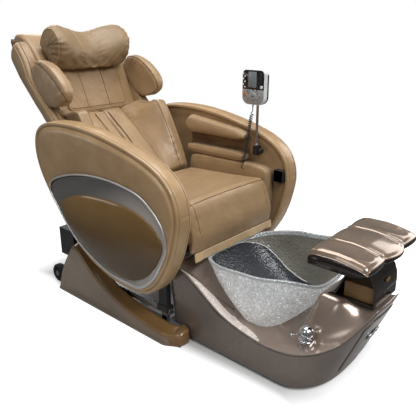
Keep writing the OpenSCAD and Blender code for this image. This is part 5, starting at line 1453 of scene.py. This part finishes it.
    def bowl_ring(self, u: Any, d: Any, t: Array) -> Array:
        """Points of the bowl: a superellipse that swells to the rear, under a wavy rim.

        Args:
            u: share of the height, 0 at the foot and 1 at the rim.
            d: distance into the glass.
            t: angles round the plan.

        Returns:
            The points in the drawing frame.
        """
        s = self.sizes
        c, sn = np.cos(t), np.sin(t)
        rim = (s.rim - 5 + 9 * c + 10 * sn - 4 * np.sin(2 * t) + 4 * np.cos(3 * t)
               - 23 * np.sin(3 * t) - 75 * np.clip(sn, 0, 1) ** 4)
        low = s.deck + 0.3 + d
        f = 1 - (1 - u) ** 2.1
        g = 0.45 * u + 0.55 * f
        a = 178 + (s.bowl_a - 178) * f - d
        b = 90 + (s.bowl_b - 90) * g - d + np.where(sn > 0, s.bowl_back * g, 0)
        e = 2.9 + 0.3 * u
        return grid_of(a * squared(c, 2 / e), s.bowl_c + b * squared(sn, 2 / e),
                       low + (rim - low) * u)

    def bowl(self) -> None:
        """The hammered glass bowl, with a thick clear rim and painted shade inside under a line."""
        s = self.sizes
        n = 320
        t = angles(n)
        us = np.linspace(0, 1, 72) ** 0.8
        w = s.bowl_wall
        flare = 6.0 * smooth(0.86, 1.0, us)
        outer = np.array([self.bowl_ring(float(u), -float(q), t) for u, q in zip(us, flare)])
        inner = np.array([self.bowl_ring(float(u), w, t) for u in us[::-1]])
        outer = raised(outer, -0.9 * np.abs(ripple(outer, (26, 34), 131)))
        swell = 1.6 * ripple(inner, (24, 33), 132) * smooth(1.0, 0.9, us[::-1])[:, None]
        inner = inner - outward(inner) * np.abs(swell)[..., None] * 0.5
        top = [self.bowl_ring(1.0, d, t) + (0, 0, z)
               for d, z in ((-4.6, 2.0), (-1.0, 3.4), (3.0, 3.2), (6.0, 1.6))]
        foot = self.bowl_ring(0.0, 40.0, t) * (1, 1, 0)
        grid = np.concatenate([[foot + (0, 0, s.deck + 0.3)], outer, top, inner,
                               [foot + (0, 0, s.deck + w)]])
        piece = dress(skin("glass_bowl_hammered", grid), GLASS, "base", ["glass_bowl"])
        degrees = np.degrees(t)
        line = np.interp(degrees, [0, 8, 24, 34, 45, 56, 72, 90, 200, 250, 300, 330, 359],
                         [0.14, 0.18, 0.30, 0.51, 0.72, 0.82, 0.92, 0.985, 0.985, 0.7, 0.25,
                          0.12, 0.13])
        m = len(us)
        region = np.zeros((len(grid) - 1, n), np.int32)
        region[m - 3 : m + 5] = 1
        at = us[::-1][:, None]
        # Inside the bowl the glass under the line is painted dark: painted shade of its walls.
        painted_shade_split = np.where(at > 0.95, 1, np.where(at > line[None], 2, 3))
        region[m + 5 :] = painted_shade_split[: len(region) - m - 5]
        parted(piece, [GLASS_RIM, GLASS_UPPER, GLASS_DEEP], region)
        t2 = np.radians(np.linspace(-4, 104, 90))
        u2 = averaged(np.interp(np.degrees(t2) % 360, degrees, line), 3)
        ridge = self.bowl_ring(u2, w + 1.0, t2)
        dress(tube("glass_bowl_line", ridge, 1.7, (0.3, 0.2, 1.0), 10), GLASS, "base")

    def mixer(self) -> None:
        """The mixer tap: a turned escutcheon and a domed knob with a pin lever."""
        s = self.sizes
        mx, my = s.mixer
        base = [[30, 136], [30, 188], [29.6, 191.5], [28.4, 194.2], [26, 195.8], [17.2, 196.2],
                [17, 197], [17, 209], [16.2, 210], [9, 210], [9, 223.5], [8, 224], [0.3, 224]]
        dress(lathe("mixer_escutcheon", base, (mx, my, 0)), CHROME, "base", ["mixer_base"])
        z = s.mixer_top + 14.4
        knob = [[9.1, 0], [24.6, 0], [26.6, 0.8], [27.6, 2.6], [28, 6], [27.6, 11], [26, 16.5],
                [23, 22], [18.6, 27], [12.8, 31], [6.4, 33.4], [0.2, 34]]
        dome = lathe("mixer_knob_dome", [[0.2, 14], [9.1, 14]] + knob, (mx, my, z))
        dress(dome, CHROME, "mixer_knob", ["mixer_knob"])
        a, b = math.radians(165), math.radians(82)
        way = np.array([math.sin(b) * math.cos(a), math.sin(b) * math.sin(a), math.cos(b)])
        root = np.array([mx + 20 * math.cos(a), my + 20 * math.sin(a), z + 17])
        along = np.array([0, 4, 50, 51.5, 53.5, 56, 57.3, 57.5])
        rad = np.array([3.5, 3.5, 3.4, 4.6, 5.5, 4.2, 1.8, 0.2])
        pin = tube("mixer_knob_lever", root + along[:, None] * way, rad, (0, 0, 1), 20)
        dress(pin, CHROME, "mixer_knob")


# ------------------------------------------------------------------ machined parts


@dataclass
class Workshop:
    """Makes shown pieces from the hard CAD parts: merged faces, broken edges, a real finish.

    Attributes:
        nodes: the CAD parts by name.
    """

    nodes: dict[str, bpy.types.Object]

    def machined(self, node: str, body: str, finish: Finish, edge: float = 0.6,
                 steps: int = 2) -> bpy.types.Object:
        """A part with its edges broken.

        Args:
            node: the CAD part.
            body: the body that it rides on.
            finish: what it is made of.
            edge: width of the broken edges in millimetres.
            steps: faces across each edge.

        Returns:
            The dressed piece.
        """
        data = self.nodes[node].data.copy()
        data.name = node
        tidy = bmesh.new()
        tidy.from_mesh(data)
        bmesh.ops.remove_doubles(tidy, verts=tidy.verts, dist=2e-5)
        bmesh.ops.dissolve_limit(tidy, angle_limit=math.radians(1.0), verts=tidy.verts,
                                 edges=tidy.edges)
        bmesh.ops.recalc_face_normals(tidy, faces=tidy.faces)
        tidy.to_mesh(data)
        tidy.free()
        data.polygons.foreach_set("use_smooth", [True] * len(data.polygons))
        data.set_sharp_from_angle(angle=SHARP)
        piece = bpy.data.objects.new(f"{node}_part", data)
        bpy.context.collection.objects.link(piece)
        broken = piece.modifiers.new("edges", "BEVEL")
        broken.width = edge / 1000
        broken.segments = steps
        broken.limit_method = "ANGLE"
        broken.angle_limit = SHARP
        broken.use_clamp_overlap = True
        broken.harden_normals = False
        return dress(piece, finish, body, [node])

    def build(self) -> None:
        """Makes the frames, rails, covers' hardware, wheels and mechanisms."""
        for node, body, finish, edge in (
            ("base_frame", "base", STEEL, 1.0), ("slide_rails", "base", ROD, 0.6),
            ("levelling_feet", "base", BLACK, 0.8), ("power_box", "base", BLACK, 1.2),
            ("power_switch", "power_switch", BEZEL, 0.4), ("drain_pipe", "base", CHROME, 0.5),
            ("wheel_left", "wheel_left", RUBBER, 1.2), ("wheel_right", "wheel_right", RUBBER, 1.2),
            ("foot_tower", "base", DARK_BRONZE_AND_SHADE, 2.2), ("tower_core", "base", CORE, 1.5),
            ("footrest_bracket", "base", STEEL, 0.6),
            ("footrest_carrier", "footrest", STEEL, 0.6), ("seat_frame", "seat", FRAME, 0.8),
            ("seat_pan", "seat", BOARD, 1.0), ("arm_pocket", "seat", BLACK, 1.6),
            ("stalk_socket", "seat", BLACK, 1.0), ("back_frame", "backrest", FRAME, 0.8),
            ("back_board", "backrest", BOARD, 1.0), ("back_shell", "backrest", SHELL, 1.6),
            ("massage_carriage", "massage_carriage", STEEL, 0.8),
            ("massage_rollers", "massage_rollers", BLACK, 1.2),
            ("actuator_body", "actuator_body", BLACK, 1.2),
            ("actuator_rod", "actuator_rod", ROD, 0.6),
        ):
            self.machined(node, body, finish, edge)


# ------------------------------------------------------------------ footrest and covers


RIB_X, SOLE_X, SOLE_Y = 75.0, 137.0, -625.0  # mm, the ribs and the middles of the dishes


@dataclass
class Footrest:
    """The footrest: three lobes with two ribs between them and a dish for each sole."""

    half: float = 200.0
    rest_z: float = 494.0
    front: float = -747.0
    rear: float = -512.0

    def low(self, x: Array, y: Array) -> Array:
        """Height of the underside, whose rim hangs down at the sides and the rear."""
        hang = np.maximum(smooth(-578, -560, y),
                          smooth(137, 160, np.abs(x)) * smooth(-735, -660, y))
        return self.rest_z + np.interp(y, [-747, -729, -695], [10, 4, 0]) - 16 * hang

    def top(self, y: Array) -> Array:
        """Height of the top at the place y, before ribs and dishes."""
        return self.rest_z + np.interp(y, [-747, -735, -703, -656, -614, -547, -519, -512],
                                       [20, 25, 32, 42, 47, 45, 39, 31])

    @staticmethod
    def rise(x: Array, y: Array) -> Array:
        """What the ribs, the crowns and the dished soles add to the top."""
        ax = np.abs(x)
        rib = 8 * bump(ax, RIB_X, 7) - 3.4 * bump(ax, RIB_X, 2.2)
        crown = np.where(ax < RIB_X, 3 - 8 * (ax / RIB_X) ** 2, 4 - 9 * ((ax - SOLE_X) / 62) ** 2)
        sole = np.clip(1 - ((ax - SOLE_X) / 44) ** 2 - ((y - SOLE_Y) / 88) ** 2, 0, 1)
        far = smooth(-700, -735, y)
        return (rib * (1 - far) + crown - 9 * sole**1.2) * (1 - 0.5 * far)

    def build(self) -> None:
        """Makes the footrest's shell."""
        x = self.half * np.sin(np.linspace(-1, 1, 241) * math.pi / 2)
        v = np.linspace(0.03, 0.97, 120)
        lobe = np.where(np.abs(x) < RIB_X, 1 - (x / RIB_X) ** 2,
                        0.35 * (1 - ((np.abs(x) - SOLE_X) / 63) ** 2))
        front = (self.front + 21 * (1 - lobe))[:, None]
        y = front + (self.rear - front) * v[None]
        e = smooth(self.half - 10, self.half, np.abs(x))[:, None]
        xs = np.broadcast_to(x[:, None], y.shape)
        low = self.low(xs, y) + 3 * e
        soft = np.stack([averaged(row, 4) for row in self.top(y)])
        roll = (7 * smooth(self.half - 26, self.half, np.abs(x))[:, None] ** 2
                + 5 * smooth(0.11, 0.03, v)[None] + 4 * smooth(0.93, 0.97, v)[None])
        top = soft + self.rise(xs, y) - 6 * e - roll
        grid = np.concatenate([grid_of(xs, y, low), grid_of(xs, y, top)[:, ::-1]], axis=1)
        n = v.size
        ends = []
        for a, b, out in ((n - 1, n, 3.0), (2 * n - 1, 0, -3.0)):
            p, q = grid[:, a], grid[:, b]
            t = np.linspace(0, math.pi, 8)[1:-1]
            mid, half = (p + q) / 2, (q - p) / 2
            ends.append(np.stack([mid - half * math.cos(k) + (0, out * math.sin(k), 0)
                                  for k in t], axis=1))
        grid = np.concatenate([grid[:, :n], ends[0], grid[:, n:], ends[1]], axis=1)
        piece = dress(skin("footrest_shell", grid), REST, "footrest", ["footrest"])
        # Faces that turn sideways or down take the dark bronze as painted shade.
        slope = np.array([p.normal.z for p in piece.data.polygons])
        parted(piece, [DARK_BRONZE_AND_SHADE], (slope < 0.3).astype(np.int32))


@dataclass
class Covers:
    """The two covers that run along the base and rise under the chair."""

    top: Array = field(default_factory=lambda: spline(
        [[-42, 62], [-20, 70], [40, 78], [120, 85], [300, 120], [470, 200], [585, 288],
         [640, 235], [700, 140], [742, 24]], 14))

    def build(self) -> None:
        """Makes both covers and the line along each of them."""
        y, h0 = self.top[:, 0], self.top[:, 1]
        h = np.maximum(10, h0 - 18)
        n = 34 * (1 - smooth(-46, 30, y))
        x1, x0 = 352 - n, 300 - n
        rows = [[x1, 0 * y + 2], [x1, 0 * y + 6], [x1, 0 * y + 11.4], [x1 - 1, 0 * y + 12],
                [x1 - 1, 0 * y + 14], [x1, 0 * y + 14.6]]
        rows += [[x1, 14.6 + (h - 18 - 14.6) * k] for k in (0.25, 0.5, 0.75, 1.0)]
        rows += [[x1 - 12 * (1 - math.cos(a)), h - 10 + 9.5 * math.sin(a)]
                 for a in np.linspace(0.2, math.pi / 2, 7)]
        rows += [[x1 - 12 - (x1 - 12 - x0) * k, h - 0.5 + (h0 - h + 0.5) * k
                  - 2.0 * math.sin(math.pi * k)] for k in (0.2, 0.4, 0.6, 0.8, 1.0)]
        rows += [[x0, h0 - 5], [x1 - 10, h - 6], [x1 - 5, h - 12], [x1 - 5, 0 * y + 2]]
        grid = np.array([grid_of(a, y, np.maximum(b, 2)) for a, b in rows]).transpose(1, 0, 2)
        nose = self.nose()
        for side, word in SIDES.items():
            dress(skin(f"base_cover_nose_{word}", on_side(side, nose)), SKIRT_TOP, "base")
            piece = dress(skin(f"base_cover_{word}", on_side(side, grid)), SKIRT, "base",
                          ["base_covers"])
            across = np.broadcast_to(np.arange(len(rows))[None], (len(y) - 1, len(rows)))
            brown = (across >= 9) | (y[:-1, None] < -6 + 0.25 * grid[:-1, :, 2])
            parted(piece, [SKIRT_TOP], np.concatenate([brown.astype(np.int32).ravel(), [1, 1]]))

    @staticmethod
    def nose() -> Array:
        """Rounded front end of a cover: the full section, closed by a quarter round."""
        t = np.linspace(0, math.pi / 2, 9)
        y = np.concatenate([-30 - 16 * np.sin(t)[::-1], [-24, -10]])
        d = np.concatenate([15 * (1 - np.cos(t))[::-1], [0, 0]])
        rings = []
        for yy, dd in zip(y, d):
            x1, x0, top = 319 + 0.12 * (yy + 30), 262.0, 66 + 0.25 * (yy + 30)
            section = np.array([[x1, 3], [x1, top - 30], [x1 - 3, top - 20], [x1 - 10, top - 12],
                                [x1 - 22, top - 6], [x0 + 6, top], [x0, top - 6], [x0, 3]])
            mid = np.array([(x0 + x1) / 2, top / 2 - 10])
            shrunk = mid + (section - mid) * (1 - dd / 34)
            shrunk[:, 1] = np.maximum(shrunk[:, 1], 3)
            rings.append(np.column_stack([shrunk[:, 0], np.full(8, yy), shrunk[:, 1]]))
        done = spline(np.array(rings).transpose(1, 0, 2), 5, closed=True).transpose(1, 0, 2)
        return np.maximum(done, [-1e4, -1e4, 2.0])


# ------------------------------------------------------------------ handset


@dataclass(frozen=True)
class HandsetSizes:
    """Sizes and places of the handset, in millimetres; the cord's curls are a pitch apart,
    and loose at both ends of the coil.
    """

    centre: tuple[float, float, float] = (304.0, 80.0, 956.0)
    width: float = 120.0
    height: float = 150.0
    face: float = 285.0
    rear: float = 323.0
    stalk: tuple[float, float] = (300.0, 64.0)
    stalk_r: float = 6.0
    wire: float = 3.8
    curl: float = 7.0
    pitch: float = 8.8
    loose: float = 24.0
    tails: tuple[float, float] = (30.0, 28.0)


@dataclass
class Handset:
    """The remote control on its chrome stalk, and the curly cord to the arm."""

    sizes: HandsetSizes = field(default_factory=HandsetSizes)
    keys: tuple[tuple[str, float, float, float], ...] = (
        ("key_power", 125.0, 926.0, 7.0), ("key_stop", 36.0, 958.0, 7.0),
        ("key_pad", 80.0, 918.0, 17.0))

    def outline(self, d: float = 0.0) -> Array:
        """Front outline in y and z: four corner arcs, the lower ones wider."""
        s = self.sizes
        corners = [(-1, 34 - s.height / 2, 34, 180), (1, 34 - s.height / 2, 34, 270),
                   (1, s.height / 2 - 22, 22, 0), (-1, s.height / 2 - 22, 22, 90)]
        arcs = []
        for side, z, r, start in corners:
            a = np.radians(np.linspace(start, start + 90, 26))
            cy = side * (s.width / 2 - r)
            arcs.append(np.stack([cy + (r - d) * np.cos(a), z + (r - d) * np.sin(a)], 1))
        return np.concatenate(arcs) + (s.centre[1], s.centre[2])

    def carve(self, piece: bpy.types.Object, cutters: Sequence[bpy.types.Object]) -> None:
        """Takes the cutters' shapes out of the piece."""
        for k, cutter in enumerate(cutters):
            cut = piece.modifiers.new(f"cut_{k}", "BOOLEAN")
            cut.operation = "DIFFERENCE"
            cut.solver = "EXACT"
            cut.object = cutter
        shape = piece.evaluated_get(bpy.context.evaluated_depsgraph_get())
        made = bpy.data.meshes.new_from_object(shape)
        piece.modifiers.clear()
        piece.data = made
        made.set_sharp_from_angle(angle=SHARP)
        for cutter in cutters:
            bpy.data.objects.remove(cutter, do_unlink=True)

    def wells(self, slack: float, depth: float) -> list[bpy.types.Object]:
        """Cutters for the keys' wells."""
        s = self.sizes
        made = []
        for name, y, z, r in self.keys:
            profile = [[0.2, -9], [r + slack, -9], [r + slack, depth], [0.2, depth]]
            made.append(lathe(f"{name}_well", profile, (s.face, y, z), 40, "x"))
        return made

    def build(self) -> None:
        """Makes the case, faces, keys, stalk and cord."""
        self.case()
        self.faces()
        for name, y, z, r in self.keys:
            self.key(name, y, z, r)
        self.small_keys()
        self.stalk()
        self.cord()

    def case(self) -> None:
        """The case: a rounded shell with a dark rear half below its shoulder."""
        s = self.sizes
        x = [(0.0, 1.6), (0.5, 0.6), (1.6, 0.0), (20.0, 0.0), (20.4, 0.4), (21.2, 0.4),
             (21.6, 0.0), (30.0, 0.3), (33.0, 1.2), (35.5, 3.0), (37.2, 5.6), (38.0, 9.0)]
        rings = [at_x(self.outline(d), s.face + a) for a, d in x]
        piece = skin("remote_case_shell", np.array(rings))
        bore = lathe("stalk_bore", [[0.2, 0], [s.stalk_r + 0.1, 0], [s.stalk_r + 0.1, 27],
                                    [0.2, 27]],
                     (*s.stalk, s.centre[2] - s.height / 2 - 1), 40)
        entry = lathe("cord_bore", [[0.2, 0], [2.5, 0], [2.5, 9], [0.2, 9]],
                      (303, 92, s.centre[2] - s.height / 2 - 1), 24)
        self.carve(piece, [*self.wells(0.3, 5.0), bore, entry])
        dress(piece, WHITE, "handset", ["remote_case"])
        piece.data.materials.append(BEZEL.build())
        co = np.array([p.center for p in piece.data.polygons])
        rear = (co[:, 0] * 1000 > s.face + 21) & (co[:, 2] * 1000 < s.centre[2] + 20)
        piece.data.polygons.foreach_set("material_index", rear.astype(np.int32))

    def faces(self) -> None:
        """The dark upper face, its window, the side control and the silver lower keypad."""
        s = self.sizes
        cy, cz = s.centre[1], s.centre[2]
        whole = self.outline(3.4)
        split = cz - 12.0
        wide = s.width / 2 - 3.4
        for name, side, gap, toward, rise, finish in (
                ("remote_upper_face", 1, 1.5, 30, 0.7, BEZEL),
                ("remote_keypad_face", -1, 0.5, -45, 0.5, KEYPAD)):
            level = split + side * gap
            rim = np.vstack([whole[side * (whole[:, 1] - level) > 0],
                             [[cy - wide, level], [cy + wide, level]]])
            order = np.argsort(np.arctan2(rim[:, 1] - cz - toward, rim[:, 0] - cy))
            plate = slab(name, rim[order], s.face - rise, s.face + 0.4, 0.3)
            self.carve(plate, self.wells(0.4, 3.0))
            dress(plate, finish, "handset")
        window = self.rounded(85, cz + 32, 44, 66, 4)
        dress(slab("remote_window", window, s.face - 1.1, s.face - 0.2, 0.3), SCREEN, "handset")
        strip = self.rounded(40, cz + 38, 15, 50, 7)
        dress(slab("remote_side_control", strip, s.face - 1.9, s.face - 0.4, 0.7), BLACK, "handset")

    @staticmethod
    def rounded(y: float, z: float, w: float, h: float, r: float) -> Array:
        """A rounded rectangle in y and z, anticlockwise."""
        arcs = []
        for k, (sy, sz) in enumerate(((1, 1), (-1, 1), (-1, -1), (1, -1))):
            a = np.radians(np.linspace(90 * k, 90 * k + 90, 9))
            arcs.append(np.stack([y + sy * (w / 2 - r) + r * np.cos(a),
                                  z + sz * (h / 2 - r) + r * np.sin(a)], 1))
        return np.concatenate(arcs)

    def key(self, name: str, y: float, z: float, r: float) -> None:
        """A round key with a broken edge and a shallow dish."""
        s = self.sizes
        finish = {"key_power": ORANGE, "key_stop": WHITE, "key_pad": KEYPAD}[name]
        profile = [[0.2, 3], [r - 0.2, 3], [r, 2.6], [r, -2.0], [r - 0.3, -2.8], [r - 1, -3.2],
                   [r * 0.5, -3.0], [r * 0.33, -2.9], [0.2, -2.75]]
        dress(lathe(f"{name}_cap", profile, (s.face, y, z), 48, "x"), finish, name, [name])

    @staticmethod
    def several(name: str, places: Sequence[tuple[float, float]], finish: Finish, x: float,
                profile: Any, sides: int) -> None:
        """One piece of equal small keys, at places in y and z."""
        made = [lathe(f"{name}_{k}", profile, (x, y, z), sides, "x")
                for k, (y, z) in enumerate(places)]
        dress(join(name, made), finish, "handset")

    def small_keys(self) -> None:
        """The fixed rows of small keys: staggered white ones, and pips on the keypad."""
        s = self.sizes
        rows = [(133.0 - 8 * (k % 2), s.centre[2] + 56 - 11.5 * k) for k in range(6)]
        self.several("remote_white_buttons", rows, WHITE, s.face - 0.5,
                     [[0.2, 0], [3.6, 0], [3.6, -1.6], [3.0, -2.2], [0.2, -2.4]], 24)
        pips = [(100, 942), (80, 943), (60, 942), (106, 930), (54, 930), (106, 905), (54, 905),
                (112, 940), (46, 915)]
        self.several("remote_grey_pips", pips, BLACK, s.face - 0.4,
                     [[0.2, 0], [2.4, 0], [2.4, -1.2], [1.8, -1.7], [0.2, -1.8]], 20)
        chevron = [[-7, 4], [-4, 4], [0, -2.5], [4, 4], [7, 4], [0, -7]]
        way = np.array(chevron)[::-1] + (80, 918)
        dress(slab("remote_pad_chevron", way, s.face - 3.4, s.face - 2.6, 0.1), BLACK, "key_pad")

    def stalk(self) -> None:
        """The chrome stalk with its collar."""
        s = self.sizes
        profile = [[0.2, 662.3], [5.4, 662.3], [6, 663], [6, 700.3], [9.1, 700.3], [9.5, 700.8],
                   [9.5, 707.4], [8.9, 708.3], [6, 708.3], [6, 903], [5.4, 903.3], [0.2, 903.3]]
        piece = lathe("remote_stalk_bar", profile, (*s.stalk, 0), 48)
        piece.data.set_sharp_from_angle(angle=math.radians(40))
        dress(piece, CHROME, "handset", ["remote_stalk"])

    def cord(self) -> None:
        """The curly cord: a helix along a sagging line, straight at both ends."""
        s = self.sizes
        x, y, z = 303.0, 92.0, s.centre[2] - s.height / 2 + 7
        end = np.array([ArmSizes().liner + 6, 108.0, 592.0])
        line = spline([[x, y, z], [x, y, z - 22], [296, 90, 840], [284, 90, 806],
                       [272, 92, 743], [261, 95, 687], [252, 99, 640], [247, 104, 612],
                       [254, 108, 594], end - (9, 0, 0), end], 24)
        run = distances(line)
        whole, (first, last) = run[-1], s.tails
        curls = int((whole - first - last) / s.pitch)
        at = np.concatenate([[0, first / 3, first * 2 / 3],
                             np.linspace(first, whole - last, curls * 24 + 1),
                             [whole - 11, whole - 6, whole - 3, whole]])

        def along(d: Array) -> Array:
            return np.column_stack([np.interp(d, run, line[:, k]) for k in range(3)])

        mid = along(at)
        t = unit(along(np.minimum(whole, at + 3)) - along(np.maximum(0, at - 3)))
        v = unit(np.cross(t, [0.0, 1.0, 0.0]))
        w = np.cross(t, v)
        inside = np.clip(np.minimum(at - first, whole - last - at), 0, None)
        rate = 1 / s.loose + (1 / s.pitch - 1 / s.loose) * smooth(16, 30, inside)
        step = np.diff(np.clip(at, first, whole - last))
        turn = 2 * math.pi * np.append(0.0, np.cumsum((rate[1:] + rate[:-1]) / 2 * step))
        r = s.curl * smooth(0, 26, inside)
        path = mid + r[:, None] * (np.cos(turn)[:, None] * v + np.sin(turn)[:, None] * w)
        piece = self.wire("remote_cord_sheath", path, s.wire / 2)
        piece.data.materials.append(PVC.build())
        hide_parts("remote_cord")
        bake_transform(piece)
        relief = tube("remote_cord_relief",
                      np.array([[x, y, z - k] for k in (6.0, 8, 14, 20, 22)]),
                      np.array([2.2, 3.4, 3.1, 2.6, 2.3]), (1, 0, 0), 24)
        dress(relief, PVC, "handset")

    @staticmethod
    def wire(name: str, path: Array, radius: float, sides: int = 14) -> bpy.types.Object:
        """A round wire along a winding path, its section carried along without twist."""
        t = unit(np.gradient(path, axis=0))
        u = np.array([0.0, 1.0, 0.0])
        ups = []
        for k in t:
            u = u - k * float(u @ k)
            u = u / np.linalg.norm(u)
            ups.append(u)
        v = np.array(ups)
        return skin(name, around(path, radius, v, np.cross(t, v), sides))


# ------------------------------------------------------------------ studio


@dataclass(frozen=True)
class Studio:
    """The camera, the lights and the floor."""

    lens_px: float = 517.747
    frame_px: float = 416.0
    sensor_mm: float = 36.0
    place: tuple[float, float, float] = (-1.561, -1.48085, 1.218)
    heading: float = 48.688
    pitch: float = 19.661

    def build(self) -> None:
        """Sets up the whole studio."""
        self.camera()
        self.world()
        self.lights()
        self.floor()

    def camera(self) -> None:
        """A camera at the front right corner, a little above the seat."""
        data = bpy.data.cameras.new("studio_camera")
        data.sensor_width = self.sensor_mm
        data.lens = self.lens_px / self.frame_px * self.sensor_mm
        camera = bpy.data.objects.new("studio_camera", data)
        camera.location = self.place
        camera.rotation_euler = (math.radians(90 - self.pitch), 0.0,
                                 math.radians(-self.heading))
        bpy.context.collection.objects.link(camera)
        bpy.context.scene.camera = camera

    def world(self) -> None:
        """An even pale world; the camera sees pure white behind the chair."""
        world = bpy.data.worlds.new("studio_world")
        bpy.context.scene.world = world
        world.use_nodes = True
        tree = world.node_tree
        tree.nodes.clear()
        seen = add(tree, "LightPath").outputs["Is Camera Ray"]
        coord = add(tree, "TexCoord").outputs["Generated"]
        height = add(tree, "SeparateXYZ", {"Vector": coord}).outputs["Z"]
        ramp = add(tree, "ValToRGB", {"Fac": height})
        ramp.color_ramp.elements[0].color = (0.30, 0.28, 0.26, 1)
        ramp.color_ramp.elements[1].color = (0.95, 0.97, 1.0, 1)
        soft = add(tree, "Background", {"Strength": 0.36, "Color": ramp.outputs["Color"]})
        white = add(tree, "Background", {"Color": (1, 1, 1, 1), "Strength": 1.0})
        mix = add(tree, "MixShader", {0: seen, 1: soft.outputs[0], 2: white.outputs[0]})
        add(tree, "OutputWorld", {"Surface": mix.outputs[0]})

    def lights(self) -> None:
        """A wide softbox over the front, one to each side and a rim light behind."""
        for name, place, aim, size, watts in (
            ("key_softbox", (-0.9, -2.5, 3.0), (0, 0, 0.5), (2.0, 1.2), 74.0),
            ("top_softbox", (0.1, 0.2, 3.2), (0, 0, 0.4), (2.4, 1.8), 66.0),
            ("left_softbox", (-3.0, 0.0, 2.3), (0, 0.1, 0.6), (1.0, 1.2), 9.0),
            ("window_softbox", (-2.3, 2.6, 1.0), (-0.4, 0.1, 0.5), (0.9, 0.7), 5.0),
            ("right_softbox", (2.8, -1.0, 1.9), (0, 0, 0.5), (1.4, 2.0), 26.0),
            ("rim_softbox", (0.8, 3.0, 2.4), (0, 0.2, 0.8), (1.8, 1.2), 26.0),
        ):
            data = bpy.data.lights.new(name, "AREA")
            data.shape = "RECTANGLE"
            data.size, data.size_y = size
            data.energy = watts
            light = bpy.data.objects.new(name, data)
            light.location = place
            way = np.array(aim) - np.array(place)
            yaw = math.atan2(way[1], way[0]) - math.pi / 2
            drop = math.atan2(-way[2], math.hypot(way[0], way[1]))
            light.rotation_euler = (math.pi / 2 - drop, 0.0, yaw)
            bpy.context.collection.objects.link(light)

    def floor(self) -> None:
        """A plain pale floor that takes a soft shadow and fades to white away from it; under the
        chair its glow is left out, a painted shadow.
        """
        data = bpy.data.meshes.new("studio_floor")
        far = 14.0  # metres
        data.from_pydata([(-far, -far, 0), (far, -far, 0), (far, far, 0), (-far, far, 0)], [],
                         [(0, 1, 2, 3)])
        floor = bpy.data.objects.new("studio_floor", data)
        bpy.context.collection.objects.link(floor)
        made = bpy.data.materials.new("matt_white_floor")
        made.use_nodes = True
        tree = made.node_tree
        tree.nodes.clear()
        coord = add(tree, "TexCoord").outputs["Object"]
        path = add(tree, "LightPath")
        seen, mirrored_by = path.outputs["Is Camera Ray"], path.outputs["Is Glossy Ray"]
        size = add(tree, "VectorMath", {"operation": "ABSOLUTE", 0: coord}).outputs["Vector"]
        split = add(tree, "SeparateXYZ", {"Vector": size})
        half_x, half_y = 0.34, 0.86  # metres, the ground under the chair
        edge = maths(tree, "MAXIMUM", maths(tree, "DIVIDE", split.outputs["X"], half_x),
                     maths(tree, "DIVIDE", split.outputs["Y"], half_y))
        # Under the chair the glow is left out, so the ground there is darker: a painted shadow on
        # top of the real shadow.
        level = maths(tree, "MULTIPLY", seen, span(tree, edge, 0.8, 1.05, 0.0, 0.82))
        matt = add(tree, "BsdfDiffuse", {"Color": span(tree, mirrored_by, 0, 1, 0.69, 0.42)})
        glow = add(tree, "Emission", {"Color": (1, 1, 1, 1), "Strength": level})
        both = add(tree, "AddShader", {0: matt.outputs[0], 1: glow.outputs[0]})
        reach = add(tree, "VectorMath", {"operation": "LENGTH", 0: coord}).outputs["Value"]
        away = maths(tree, "ADD", maths(tree, "MULTIPLY", seen, span(tree, reach, 1.0, 1.9)),
                     maths(tree, "MULTIPLY", maths(tree, "SUBTRACT", 1.0, seen),
                           span(tree, reach, 1.0, 1.35)))
        plain = add(tree, "Emission", {"Color": (1, 1, 1, 1),
                                       "Strength": span(tree, seen, 0, 1, 0.14, 1.0)})
        mix = add(tree, "MixShader", {0: away, 1: both.outputs[0], 2: plain.outputs[0]})
        add(tree, "OutputMaterial", {"Surface": mix.outputs[0]})
        data.materials.append(made)


def main() -> None:
    """Loads the model, dresses it and sets up the studio."""
    logging.basicConfig(level=logging.INFO, format="%(name)s: %(message)s")
    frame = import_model()
    scene = bpy.context.scene
    scene.view_settings.view_transform = "Standard"
    Studio().build()
    Handset().build()
    Seat().build()
    for side in (1, -1):
        Arm(side).build()
    Backrest().build()
    FootTub().build()
    Footrest().build()
    Covers().build()
    Workshop(frame["nodes"]).build()


if __name__ == "__main__":
    main()
